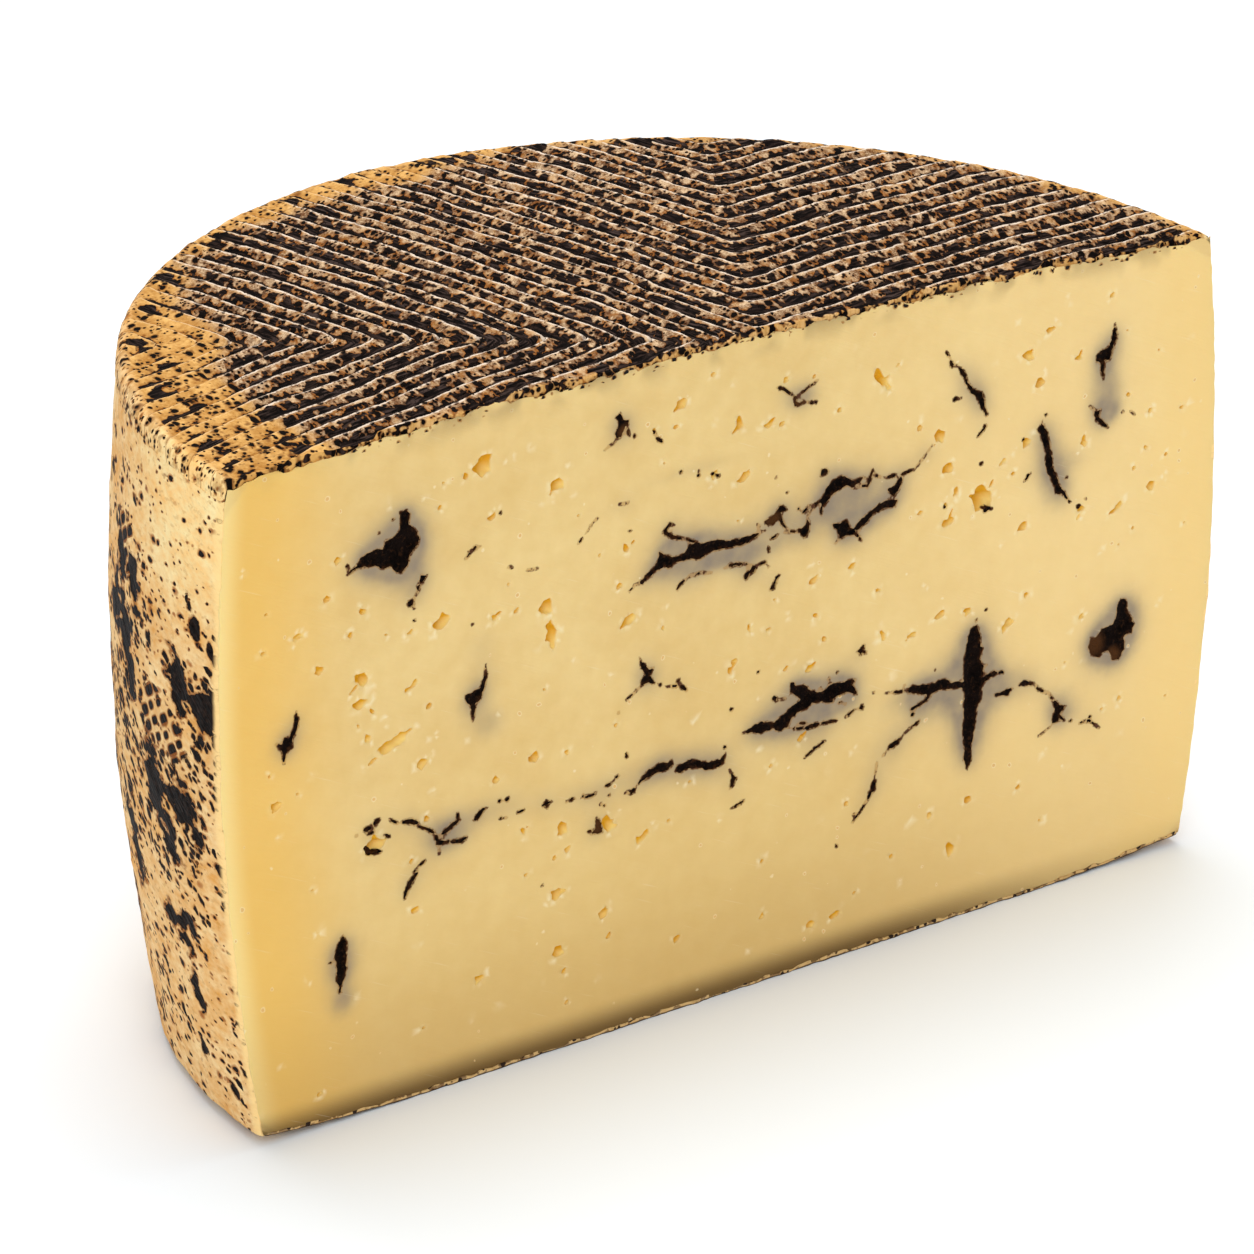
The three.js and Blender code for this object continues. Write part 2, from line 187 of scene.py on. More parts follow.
# Rows of points across one pitch; the same backwards, so rows meet on the creases.
ROW_SHARES = [0, 0.045, 0.09, 0.2, 0.325, 0.45, 0.55, 0.675, 0.8, 0.91, 0.955]
STATION_STEP = 0.68
INNER_RIM = RIM_RADIUS - SHOULDER_ROUND
SHOULDER_LENGTH = SHOULDER_ROUND * math.pi / 2
COLLAR_LENGTH = 1.2
RIM_STEP = 0.45
CUT_STEP = 0.35
EDGE_GAP = 0.24
TOP_SKIN = 1.2
SIDE_SKIN = 0.45
TOP_INNER_STEP = 4.0

NOISE_CELLS = 256
noise_tables = {}


def noise(x, y, size, seed):
    """Smooth random values from -1 to 1 that change over about one size."""
    if seed not in noise_tables:
        draws = np.random.default_rng(seed)
        noise_tables[seed] = draws.uniform(-1, 1, (NOISE_CELLS, NOISE_CELLS))
    table = noise_tables[seed]
    x, y = np.broadcast_arrays(np.asarray(x, float) / size, np.asarray(y, float) / size)
    column, row = np.floor(x).astype(int), np.floor(y).astype(int)
    right, up = x - column, y - row
    right, up = right * right * (3 - 2 * right), up * up * (3 - 2 * up)
    near, far = column % NOISE_CELLS, (column + 1) % NOISE_CELLS
    below, above = row % NOISE_CELLS, (row + 1) % NOISE_CELLS
    low = table[near, below] * (1 - right) + table[far, below] * right
    high = table[near, above] * (1 - right) + table[far, above] * right
    return low * (1 - up) + high * up


def layered_noise(x, y, *layers):
    """Noise of several sizes added together: each layer is its share, size and seed."""
    return sum(share * noise(x, y, size, seed) for share, size, seed in layers)


def smooth_share(value, start, end):
    """0 before start, 1 after end, and smooth between them."""
    share = np.clip((np.asarray(value, float) - start) / (end - start), 0, 1)
    return share * share * (3 - 2 * share)


def side_radius(height):
    """Radius of the side at a height: two parabolas that meet at the belly."""
    below = np.asarray(height) < BELLY_HEIGHT
    span = np.where(below, BELLY_HEIGHT, RIM_HEIGHT - BELLY_HEIGHT)
    end = np.where(below, FOOT_RADIUS, RIM_RADIUS)
    return BELLY_RADIUS - (BELLY_RADIUS - end) * ((height - BELLY_HEIGHT) / span) ** 2


def top_surface(x, y, inset):
    """A place of the top skin, which runs on over the shoulder and down the side.

    x and y are flat places: past the shoulder's start they count the length over it."""
    reach = np.hypot(x, y)
    over = np.clip(reach - INNER_RIM, 0, None)
    bend = np.minimum(over / SHOULDER_ROUND, math.pi / 2)
    radius = np.minimum(reach, INNER_RIM) + (SHOULDER_ROUND - inset) * np.sin(bend)
    turn = np.arctan2(y, x)
    flat_x, flat_y = radius * np.cos(turn), radius * np.sin(turn)
    dome = DOME_RISE * (1 - (np.minimum(radius, RIM_RADIUS) / RIM_RADIUS) ** 2.5)
    height = (RIM_HEIGHT + dome + TOP_SLOPE_X * flat_x + TOP_SLOPE_Y * flat_y
              - SHOULDER_ROUND * (1 - np.cos(bend)) - inset * np.cos(bend))
    down = np.clip(over - SHOULDER_LENGTH, 0, None)
    height = height - down
    radius = np.where(down > 0, radius + side_radius(height) - side_radius(height + down), radius)
    return np.stack([radius * np.cos(turn), radius * np.sin(turn), height], -1)


def top_height(x, y=0.0):
    """Height of the smooth top over flat places."""
    return top_surface(x, np.zeros_like(x) + y, 0.0)[:, 2]


MOST_RIDGES = 20
crease_counts = np.arange(0, MOST_RIDGES + 4)
crease_places = CREASE_STEP * (crease_counts + 0.1 * np.sin(2.3 * crease_counts))


def sector_of(x, y):
    turn = np.degrees(np.arctan2(y - PRINT_CENTRE[1], x - PRINT_CENTRE[0]))
    return np.digitize(turn, CREASE_ANGLES[1:3])


def ridge_swing(x, y, across, from_crease):
    """How far a ridge stands off its straight line: it swings, wobbles and rounds its bend."""
    slow = RIDGE_WOBBLE * np.sin(0.21 * x + 2 * np.sin(0.13 * y)) * np.clip(from_crease / 10, 0, 1)
    fine = layered_noise(x, y, (0.22, 4.5, 11), (0.1, 1.7, 12))
    bent = BEND_SHIFT * (1 - np.exp(-np.clip(from_crease, 0, None) / BEND_LENGTH))
    return slow + fine * np.clip(from_crease / 4, 0, 1) - bent * np.clip(across / 4, -1, 1)


def print_place(x, y, sector):
    """Where a place lies in its sector's print: along its ridge, across in ridges, from its crease."""
    ridge = np.radians(np.take(RIDGE_ANGLES, sector))
    first = ridge - np.radians(np.take(CREASE_ANGLES, sector))
    second = np.radians(np.take(CREASE_ANGLES, np.asarray(sector) + 1)) - ridge
    from_x, from_y = x - PRINT_CENTRE[0], y - PRINT_CENTRE[1]
    along = from_x * np.cos(ridge) + from_y * np.sin(ridge)
    across = from_y * np.cos(ridge) - from_x * np.sin(ridge)
    corner = np.where(across < 0, first, second)
    from_crease = along - np.abs(across) / np.tan(corner)
    across = across - ridge_swing(x, y, across, from_crease)
    count = np.interp(np.abs(across) / np.sin(corner), crease_places, crease_counts)
    return along, -np.take(BANK_SIDES, sector) * np.sign(across) * count, from_crease


def plainness(x, y):
    """0 where the print is deep, 1 at the rim and on the left, where the skin is nearly plain."""
    turn = np.degrees(np.arctan2(y, x))
    reach = np.interp(turn, *np.transpose(GROOVE_REACH))
    uneven = 3.0 * noise(x, y, 7, 21)
    return smooth_share(np.hypot(x, y) + uneven, reach, reach + GROOVE_FADE)


def ridge_height(across):
    return np.interp(across - np.floor(across), RIDGE_SHARES, RIDGE_HEIGHTS)


def pale_and_lit_share(from_cut, below_rim):
    """1 near the upper corners of the cut, fading to 0: there the skin is painted paler and more golden,
    partly its own colour and partly painted light.
    """
    return (1 - smooth_share(from_cut, 6, 40)) * (1 - smooth_share(below_rim, 6, 30))


def rim_bead(x, y):
    """Height of the soft wavy bead that the skin forms along the rim, at the left and the back."""
    turn = np.arctan2(y, x)
    off = np.hypot(x, y) - INNER_RIM - 0.2 - 0.5 * noise(turn * RIM_RADIUS, 0, 7, 25)
    uneven = 0.8 + 0.5 * noise(turn * RIM_RADIUS, 5, 4, 26)
    return BEAD_RISE * uneven * smooth_share(turn, 1.0, 1.9) * np.exp(-(off / BEAD_WIDTH) ** 2)


def top_relief(x, y):
    """Height of the print over the smooth skin, at flat places."""
    sector = sector_of(x, y)
    along, across, from_crease = print_place(x, y, sector)
    height = ridge_height(across)
    meets = (sector == 1) & (across < 0)
    joined = smooth_share(from_crease, 0, JUNCTION_LENGTH)
    height = np.where(meets, ridge_height(-across) * (1 - joined) + height * joined, height)
    depth = GROOVE_DEPTH * (1 - (1 - PLAIN_GROOVE_SHARE) * plainness(x, y))
    depth = depth * (1 + 0.2 * noise(x, y, 6, 22))
    fading = 1 - smooth_share(np.hypot(x, y), INNER_RIM - 1.4, INNER_RIM + 0.5 * SHOULDER_LENGTH)
    rough = layered_noise(x, y, (0.05, 1.0, 23), (0.1, 3.1, 24))
    return (PRINT_RISE + height * depth) * fading + rough + rim_bead(x, y)


def grid_places(across, up):
    """The places of a grid, as two flat lists."""
    return [grid.ravel() for grid in np.meshgrid(across, up)]


def pairs(first, second):
    return np.stack([first, second], -1)


def triangulate(places, edges):
    """Delaunay triangles over flat places that keep the edges and fill what they close in."""
    made = delaunay_2d_cdt([Vector(p) for p in places], [tuple(e) for e in edges], [], 1, 1e-5)
    return np.array([tuple(v) for v in made[0]]), np.array([tuple(f) for f in made[2]])


def clear_of_border(x, y):
    return (np.hypot(x, y) < INNER_RIM - EDGE_GAP) & (y > EDGE_GAP)


def row_places(sector, side):
    """The rows of one half of a sector, from its crease to the rim, and the edges along them."""
    ridge = math.radians(RIDGE_ANGLES[sector])
    crease = math.radians(CREASE_ANGLES[sector + (side > 0)])
    stations = np.arange(0.35, 2 * BELLY_RADIUS, STATION_STEP)
    places, edges, count = [], [], 0
    for number in range(MOST_RIDGES):
        for share in ROW_SHARES:
            shift = number + share
            if side < 0 and shift == 0:
                continue
            start = np.interp(shift, crease_counts, crease_places)
            base_x = PRINT_CENTRE[0] + start * math.cos(crease) + stations * math.cos(ridge)
            base_y = PRINT_CENTRE[1] + start * math.sin(crease) + stations * math.sin(ridge)
            x, y = base_x, base_y
            for _ in range(3):
                swing = ridge_swing(x, y, start * math.sin(crease - ridge), stations)
                x, y = base_x - swing * math.sin(ridge), base_y + swing * math.cos(ridge)
            kept = clear_of_border(x, y)
            numbers = np.cumsum(kept) - 1 + count
            joined = kept[:-1] & kept[1:]
            edges.append(pairs(numbers[:-1][joined], numbers[1:][joined]))
            places.append(pairs(x[kept], y[kept]))
            count += int(kept.sum())
    return np.concatenate(places), np.concatenate(edges)


def crease_row(angle):
    shares = np.sort(np.concatenate([np.add(n, ROW_SHARES) for n in range(MOST_RIDGES)]))
    starts = np.interp(shares, crease_counts, crease_places)
    x = PRINT_CENTRE[0] + starts * math.cos(math.radians(angle))
    y = PRINT_CENTRE[1] + starts * math.sin(math.radians(angle))
    kept = clear_of_border(x, y)
    places = pairs(x[kept], y[kept])
    numbers = np.arange(len(places) - 1)
    return places, pairs(numbers, numbers + 1)


def ring_edges(count):
    numbers = np.arange(count)
    return pairs(numbers, np.roll(numbers, -1))


def gather(parts):
    """Joins lists of places and edges into one."""
    places, edges, count = [], [], 0
    for some_places, some_edges in parts:
        places.append(some_places)
        edges.append(np.asarray(some_edges).reshape(-1, 2) + count)
        count += len(some_places)
    return np.concatenate(places), np.concatenate(edges).astype(int)


def cut_waver(x):
    """How far the broken edge of the skin stands back from the cut, in small steps."""
    return 0.06 + 0.14 * (1 + noise(x, 0, 0.9, 31)) * (1 + noise(x, 3, 3.7, 32))


def cut_skin(x):
    """Thickness of the skin along the cut: uneven, where its dark colour soaks into the paste."""
    return 1.0 + 0.35 * noise(x, 0, 1.1, 33) + 0.4 * noise(x, 8, 4.3, 34)


rim_turns = np.linspace(0, math.pi, int(math.pi * INNER_RIM / RIM_STEP) + 1)
rim_x, rim_y = INNER_RIM * np.cos(rim_turns), INNER_RIM * np.sin(rim_turns)
rim_y[[0, -1]] = cut_waver(rim_x[[0, -1]])
cut_x = np.linspace(-INNER_RIM, INNER_RIM, int(2 * INNER_RIM / CUT_STEP) + 1)[1:-1]
outline = np.concatenate([pairs(rim_x, rim_y), pairs(cut_x, cut_waver(cut_x))])
parts = [(outline, ring_edges(len(outline)))]
parts += [row_places(sector, side) for sector in range(3) for side in (-1, 1)]
parts += [crease_row(angle) for angle in CREASE_ANGLES[1:3]]
top_flat, top_faces = triangulate(*gather(parts))

# The shoulder and a short collar below it carry the rim on, ring by ring.
collar_reach = SHOULDER_LENGTH + COLLAR_LENGTH
ring_count = int(round(collar_reach / RIM_STEP))
ring_steps = np.linspace(0, collar_reach, ring_count + 1)[1:]
rim_count = len(rim_turns)
rings = [pairs((INNER_RIM + step) * np.cos(rim_turns),
               (INNER_RIM + step) * np.sin(rim_turns)) for step in ring_steps]
for ring in rings:
    ring[[0, -1], 1] = cut_waver(ring[[0, -1], 0])
first_ring = len(top_flat)
top_flat = np.concatenate([top_flat] + rings)


def ring_start(number):
    return 0 if number == 0 else first_ring + (number - 1) * rim_count


faces = [top_faces]
spots = np.arange(rim_count - 1)
for number in range(ring_count):
    near, far = ring_start(number) + spots, ring_start(number + 1) + spots
    faces.append(np.stack([near, far, far + 1], -1))
    faces.append(np.stack([near, far + 1, near + 1], -1))
top_faces = np.concatenate(faces)
outer = top_surface(top_flat[:, 0], top_flat[:, 1], -top_relief(top_flat[:, 0], top_flat[:, 1]))


def border_sides(triangles):
    """The sides that only one triangle has."""
    sides = np.concatenate([triangles[:, [0, 1]], triangles[:, [1, 2]], triangles[:, [2, 0]]])
    _, index, counts = np.unique(np.sort(sides, 1), axis=0, return_index=True, return_counts=True)
    return sides[np.sort(index[counts == 1])]


def border_loop(triangles):
    """The border of a sheet of triangles as one ordered loop of point numbers."""
    beside = {}
    for a, b in border_sides(triangles).tolist():
        beside.setdefault(a, []).append(b)
        beside.setdefault(b, []).append(a)
    start = min(beside)
    loop, before, here = [start], None, start
    while True:
        onward = [spot for spot in beside[here] if spot != before]
        before, here = here, onward[0]
        if here == start:
            return np.array(loop)
        loop.append(here)


def close_shell(outer_places, triangles, flat, inner_flat, inner_place):
    """Closes a sheet with a plain inner skin and a band along the border.

    flat holds the sheet's flat places, inner_flat the inner skin's own, and inner_place
    turns flat places into places of the inner skin."""
    loop = border_loop(triangles)
    skin_flat, skin_edges = gather([(flat[loop], ring_edges(len(loop))), (inner_flat, [])])
    skin_flat, skin_faces = triangulate(skin_flat, skin_edges)
    base = len(outer_places)
    numbers = np.arange(len(loop))
    after = np.roll(numbers, -1)
    band = np.concatenate([
        np.stack([loop[numbers], loop[after], base + after], -1),
        np.stack([loop[numbers], base + after, base + numbers], -1),
    ])
    places = np.concatenate([outer_places, inner_place(skin_flat, len(loop))])
    return places, np.concatenate([triangles, skin_faces + base, band])


def inner_top(flat, border_count):
    x, y = flat[:, 0], flat[:, 1]
    over = np.hypot(x, y) - INNER_RIM
    inset = TOP_SKIN + (SIDE_SKIN - TOP_SKIN) * smooth_share(over, 0, SHOULDER_LENGTH)
    at_cut = (y < 1) & (over < 0) & (np.arange(len(flat)) < border_count)
    return top_surface(x, y, np.where(at_cut, cut_skin(x), inset))


coarse = np.arange(-96.0, 96.1, TOP_INNER_STEP)
mesh_x, mesh_y = grid_places(coarse, coarse)
inside = (mesh_y > 2) & (np.hypot(mesh_x, mesh_y) < INNER_RIM + collar_reach - 2)
shell_places, shell_faces = close_shell(
    outer, top_faces, top_flat, pairs(mesh_x[inside], mesh_y[inside]), inner_top)


def make_piece(name, places, triangles, material, sharp_angle=50.0):
    """A closed mesh in the frame's metres, smooth but for its sharp edges, riding on the body."""
    placed = np.array(places, float)
    placed[:, 1] -= HALF_DEPTH
    mesh = bpy.data.meshes.new(name)
    mesh.from_pydata((placed * 0.001).tolist(), [], np.asarray(triangles).tolist())
    work = bmesh.new()
    work.from_mesh(mesh)
    bmesh.ops.recalc_face_normals(work, faces=work.faces)
    work.to_mesh(mesh)
    work.free()
    mesh.shade_smooth()
    mesh.set_sharp_from_angle(angle=math.radians(sharp_angle))
    piece = bpy.data.objects.new(name, mesh)
    scene.collection.objects.link(piece)
    mesh.materials.append(material)
    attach(piece, "root")
    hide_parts("half_wheel")
    return piece


def add_values(piece, name, values):
    """A value for each point of a mesh, which its material reads by name."""
    layer = piece.data.attributes.new(name, "FLOAT", "POINT")
    layer.data.foreach_set("value", np.asarray(values, np.float32))


def add_flat_map(piece, name, across, up):
    """A flat map with a place for each corner of each face."""
    layer = piece.data.uv_layers.new(name=name)
    layer.data.foreach_set("uv", pairs(across, up).astype(np.float32).ravel())


def corner_points(piece):
    numbers = np.zeros(len(piece.data.loops), np.int32)
    piece.data.loops.foreach_get("vertex_index", numbers)
    return numbers


def new_group(name, inputs, outputs):
    """A node group with named inputs, where None stands for a vector, and named outputs."""
    made = bpy.data.node_groups.new(name, "ShaderNodeTree")
    for title, value in inputs.items():
        kind = "NodeSocketVector" if value is None else "NodeSocketFloat"
        socket = made.interface.new_socket(title, in_out="INPUT", socket_type=kind)
        if value is not None:
            socket.default_value = value
    for title in outputs:
        kind = "NodeSocketColor" if title == "Color" else "NodeSocketFloat"
        made.interface.new_socket(title, in_out="OUTPUT", socket_type=kind)
    return made, made.nodes.new("NodeGroupInput").outputs, made.nodes.new("NodeGroupOutput").inputs


def calc(tree, operation, first, second=0.0):
    return put(tree, "ShaderNodeMath", {0: first, 1: second}, operation=operation).outputs[0]


def scaled(tree, value, gain, offset):
    """A value times a gain, plus an offset."""
    inputs = {0: value, 1: gain, 2: offset}
    return put(tree, "ShaderNodeMath", inputs, operation="MULTIPLY_ADD").outputs[0]


def times(tree, first, second):
    return calc(tree, "MULTIPLY", first, second)


def larger(tree, first, second):
    return calc(tree, "MAXIMUM", first, second)


def opposite(tree, value):
    return calc(tree, "SUBTRACT", 1.0, value)


def centred(tree, value):
    return calc(tree, "SUBTRACT", value, 0.5)


def combine(tree, operation, first, second):
    return put(tree, "ShaderNodeVectorMath", {0: first, 1: second}, operation=operation).outputs[0]


def fade(tree, value, start, end):
    """0 below start, 1 above end, smooth between them."""
    made = put(tree, "ShaderNodeMapRange", {"Value": value}, interpolation_type="SMOOTHSTEP")
    made.inputs["From Min"].default_value = start
    made.inputs["From Max"].default_value = end
    return made.outputs[0]


def blend(tree, amount, first, second):
    """A colour between two others, which are display colours or other nodes' outputs."""
    first, second = [colour(end) if isinstance(end, str) else end for end in (first, second)]
    made = put(tree, "ShaderNodeMix", {0: amount, 6: first, 7: second}, data_type="RGBA")
    return made.outputs[2]


def tint(tree, ground, code, mask, strength=1.0):
    """The ground with a colour laid over it where the mask says."""
    return blend(tree, mask if strength == 1.0 else times(tree, mask, strength), ground, code)


def cloud(tree, vector, size, detail=2.0, roughness=0.5):
    """Soft noise around 0.5 whose features are about one size wide."""
    made = put(tree, "ShaderNodeTexNoise",
               {"Vector": vector, "Scale": 1 / size, "Detail": detail, "Roughness": roughness})
    return made.outputs["Fac"]


def stretch(tree, vector, factors, turn=0.0):
    """A vector turned about Z and then scaled along each axis."""
    made = put(tree, "ShaderNodeMapping", {"Vector": vector, "Rotation": (0, 0, turn)}, vector_type="POINT")
    return combine(tree, "MULTIPLY", made.outputs[0], factors)


def millimetres(tree):
    """Places in the frame, in millimetres."""
    places = put(tree, "ShaderNodeTexCoord").outputs["Object"]
    return put(tree, "ShaderNodeVectorMath", {0: places, "Scale": 1000.0}, operation="SCALE").outputs[0]


def value_of(tree, name):
    return put(tree, "ShaderNodeAttribute", attribute_name=name).outputs["Fac"]


def use_group(tree, group, inputs):
    return put(tree, "ShaderNodeGroup", inputs, node_tree=group).outputs


def add_bump(tree, shader, height, strength, distance):
    """Low relief from a height, as the shader's own normal."""
    made = put(tree, "ShaderNodeBump", {"Height": height, "Strength": strength, "Distance": distance})
    tree.links.new(made.outputs[0], shader.inputs["Normal"])


def shaken(tree, vector, scale, detail, strength):
    """A vector pushed about by soft noise."""
    push = put(tree, "ShaderNodeTexNoise", {"Vector": vector, "Scale": scale, "Detail": detail})
    push = combine(tree, "SUBTRACT", push.outputs["Color"], (0.5, 0.5, 0.5))
    push = put(tree, "ShaderNodeVectorMath", {0: push, "Scale": strength}, operation="SCALE")
    return combine(tree, "ADD", vector, push.outputs[0])


def spot_and_ring(tree, ratio, chosen, spot_edge, ring_edge, result):
    """A spot and the ring round it, in the cells that are chosen, as a group's two masks."""
    for title, (start, end) in (("Mask", spot_edge), ("Lining", ring_edge)):
        within = opposite(tree, fade(tree, ratio, start, end))
        tree.links.new(times(tree, within, chosen), result[title])


# Small round spots, each in a cell of its own: only a share of the cells has one. The lining
# is the stained ring round each spot.
specks, given, result = new_group(
    "specks", {"Vector": None, "Spacing": 1.5, "Radius": 0.3, "Share": 0.5}, ["Mask", "Lining"])
cells = put(specks, "ShaderNodeTexVoronoi", {"Vector": shaken(specks, given["Vector"], 1.1, 1.0, 0.5),
                                             "Scale": calc(specks, "DIVIDE", 1.0, given["Spacing"])})
distance = times(specks, cells.outputs["Distance"], given["Spacing"])
draws = put(specks, "ShaderNodeSeparateColor", {0: cells.outputs["Color"]}).outputs
radius = times(specks, given["Radius"], scaled(specks, draws[0], 1.1, 0.4))
ratio = calc(specks, "DIVIDE", distance, radius)
chosen = calc(specks, "LESS_THAN", draws[1], given["Share"])
spot_and_ring(specks, ratio, chosen, (0.86, 1.06), (1.0, 1.75), result)

# Two soft clouds of different sizes, added together, that vary a colour.
mottle, given, result = new_group("mottle", {"Vector": None, "Size": 6.0, "Contrast": 1.0}, ["Mask"])
broad, fine = [
    put(mottle, "ShaderNodeTexNoise", {"Vector": given["Vector"], "Detail": 3.0,
                                       "Scale": calc(mottle, "DIVIDE", rate, given["Size"])}).outputs["Fac"]
    for rate in (1.0, 6.0)]
both = scaled(mottle, fine, 0.45, times(mottle, broad, 0.55))
both = centred(mottle, both)
both = put(mottle, "ShaderNodeMath", {0: both, 1: times(mottle, given["Contrast"], 2.2), 2: 0.5},
           operation="MULTIPLY_ADD", use_clamp=True).outputs[0]
mottle.links.new(both, result["Mask"])

# The plain skin of the wheel, where no print and no patch lies: golden and peach, with black
# pores, pin spots and short brown streaks.
skin, given, result = new_group(
    "plain_skin", {"Vector": None, "Golden": 0.5, "Pale_and_lit": 0.0, "Pores": 0.5}, ["Color", "Height"])
tone = use_group(skin, mottle, {"Vector": given["Vector"], "Size": 7.0, "Contrast": 1.6})[0]
pale = blend(skin, tone, "E4AE70", "F8DEB4")
rich = blend(skin, tone, "E4A24C", "FBD798")
ground = blend(skin, given["Golden"], pale, rich)
# Where the skin is painted paler, partly its own colour and partly painted light, it takes this lighter
# golden tone.
pale_and_lit = blend(skin, tone, "FFCC80", "FFE9AC")
ground = blend(skin, given["Pale_and_lit"], ground, pale_and_lit)
freckle = cloud(skin, given["Vector"], 1.1, 3.0, 0.55)
ground = tint(skin, ground, "B5803F", fade(skin, freckle, 0.55, 0.66), 0.3)
large = use_group(skin, specks, {"Vector": given["Vector"], "Spacing": 1.6, "Radius": 0.37,
                                 "Share": given["Pores"]})
small = use_group(skin, specks, {"Vector": given["Vector"], "Spacing": 0.95, "Radius": 0.2,
                                 "Share": given["Pores"]})
rings = calc(skin, "POWER", larger(skin, large[1], small[1]), 0.6)
ground = tint(skin, ground, "A0571C", rings, 0.85)
marks = larger(skin, large[0], small[0])
skin.links.new(blend(skin, marks, ground, "140C08"), result["Color"])
skin.links.new(scaled(skin, freckle, 0.5, times(skin, marks, -0.9)), result["Height"])

top_paint, tree, shader = new_material("printed_rind", Roughness=0.7, Specular_IOR_Level=0.04)
places = millimetres(tree)
flat = put(tree, "ShaderNodeUVMap", uv_map="print").outputs[0]
along, across = put(tree, "ShaderNodeSeparateXYZ", {0: flat}).outputs[:2]
strip = put(tree, "ShaderNodeCombineXYZ", {0: along, 1: times(tree, across, 3.8)}).outputs[0]
plain = value_of(tree, "plain")
patch = value_of(tree, "patch")
front = value_of(tree, "front")
ragged = cloud(tree, strip, 1.8, 2.0, 0.5)
broad = cloud(tree, places, 9.0, 2.0)
fine = cloud(tree, places, 0.7, 3.0)
wavy = scaled(tree, centred(tree, fine), 0.12, across)
share = calc(tree, "FRACT", wavy)
curve = put(tree, "ShaderNodeValToRGB", {0: share})
stops = [(0.0, 0.7), (0.03, 1.0), (0.1, 1.1), (0.36, 1.0), (0.48, 0.72), (0.62, 0.53), (0.84, 0.42),
         (0.91, 0.12), (1.0, 0.0)]
while len(curve.color_ramp.elements) < len(stops):
    curve.color_ramp.elements.new(0.5)
for stop, (position, level) in zip(curve.color_ramp.elements, stops):
    stop.position = position
    stop.color = (level, level, level, 1)
depth = curve.outputs[0]
depth = scaled(tree, centred(tree, ragged), 1.6, depth)
depth = scaled(tree, centred(tree, broad), 0.5, depth)
depth = scaled(tree, plain, -0.86, depth)
depth = scaled(tree, patch, 1.2, depth)
# The broken edge at the cut has no print of its own: dark and stained lumps follow each other.
edge_lumps = cloud(tree, places, 1.4, 1.0, 0.5)
depth = blend(tree, front, depth, scaled(tree, edge_lumps, 2.6, -0.98))
dark = fade(tree, depth, 0.5, 0.53)
base = use_group(tree, skin, {"Vector": places, "Golden": 0.6, "Pores": 0.25,
                              "Pale_and_lit": value_of(tree, "pale_and_lit")})
bank_tone = use_group(tree, mottle, {"Vector": strip, "Size": 1.7, "Contrast": 2.2})[0]
bank = blend(tree, bank_tone, "6E4526", "E0BF96")
plain_tone_and_shading = use_group(tree, mottle, {"Vector": places, "Size": 3.4, "Contrast": 1.8})[0]
# Each faint bank of the plain skin is painted lighter up towards its crest and darker just past it: painted
# shading of its low relief.
plain_tone_and_shading = scaled(tree, plain_tone_and_shading, 0.7, scaled(tree, share, 0.5, -0.1))
plain_tone_and_shading = blend(tree, plain_tone_and_shading, "A66A22", "E8B66C")
plain_tone_and_shading = blend(tree, value_of(tree, "over"), plain_tone_and_shading, base[0])
bank = blend(tree, fade(tree, plain, 0.0, 0.7), bank, plain_tone_and_shading)
rust = cloud(tree, places, 2.2, 3.0)
bank = tint(tree, bank, "B27C3A", fade(tree, rust, 0.5, 0.62), 0.42)
lining = times(tree, fade(tree, depth, 0.32, 0.5), 0.9)
bank = tint(tree, bank, "DDA95E", front, 0.7)
bank = blend(tree, lining, bank, blend(tree, fade(tree, rust, 0.4, 0.6), "4E2F1A", "94571F"))
raised = larger(tree, 0.0, opposite(tree, times(tree, plain, 0.5)))
# Each crest is painted pale, whitish on the print and peach on the plain skin: partly its own pale skin,
# partly a painted highlight.
crest = times(tree, fade(tree, share, 0.915, 0.96), fade(tree, ragged, 0.32, 0.5))
crest = times(tree, crest, raised)
crest = times(tree, crest, opposite(tree, front))
# Under each crest of the plain skin runs a thin line of painted shade.
painted_crest_shade = times(tree, fade(tree, share, 0.13, 0.03), fade(tree, plain, 0.1, 0.5))
bank = tint(tree, bank, "8A5524", painted_crest_shade, 0.6)
bank = blend(tree, crest, bank, blend(tree, plain, "EAD6C0", "EBC48E"))
large = use_group(tree, specks, {"Vector": places, "Spacing": 1.5, "Radius": 0.46,
                                 "Share": scaled(tree, plain, -0.3, 0.8)})
small = use_group(tree, specks, {"Vector": places, "Spacing": 0.8, "Radius": 0.23,
                                 "Share": scaled(tree, plain, -0.1, 0.6)})
clear_crest = opposite(tree, times(tree, crest, 0.6))
rings = times(tree, larger(tree, large[1], small[1]), clear_crest)
bank = tint(tree, bank, "65391A", rings, 0.75)
pits = times(tree, larger(tree, large[0], small[0]), clear_crest)
# Short dashes lie across the faint ridges of the plain skin.
dashes = use_group(tree, specks, {"Vector": stretch(tree, strip, (1.0, 0.6, 1.0)), "Spacing": 1.9,
                                  "Radius": 0.42, "Share": times(tree, plain, 0.5)})
bank = tint(tree, bank, "7A4418", dashes[1], 0.8)
pits = larger(tree, pits, dashes[0])
bank = tint(tree, bank, "0C0603", pits)
streaks = cloud(tree, stretch(tree, strip, (0.25, 2.2, 1.0)), 0.8, 3.0)
valley = blend(tree, fade(tree, streaks, 0.4, 0.68), "080302", "2E201A")
dusty = times(tree, fade(tree, broad, 0.44, 0.62), fade(tree, streaks, 0.5, 0.62))
valley = tint(tree, valley, "5A4A44", dusty, 0.45)
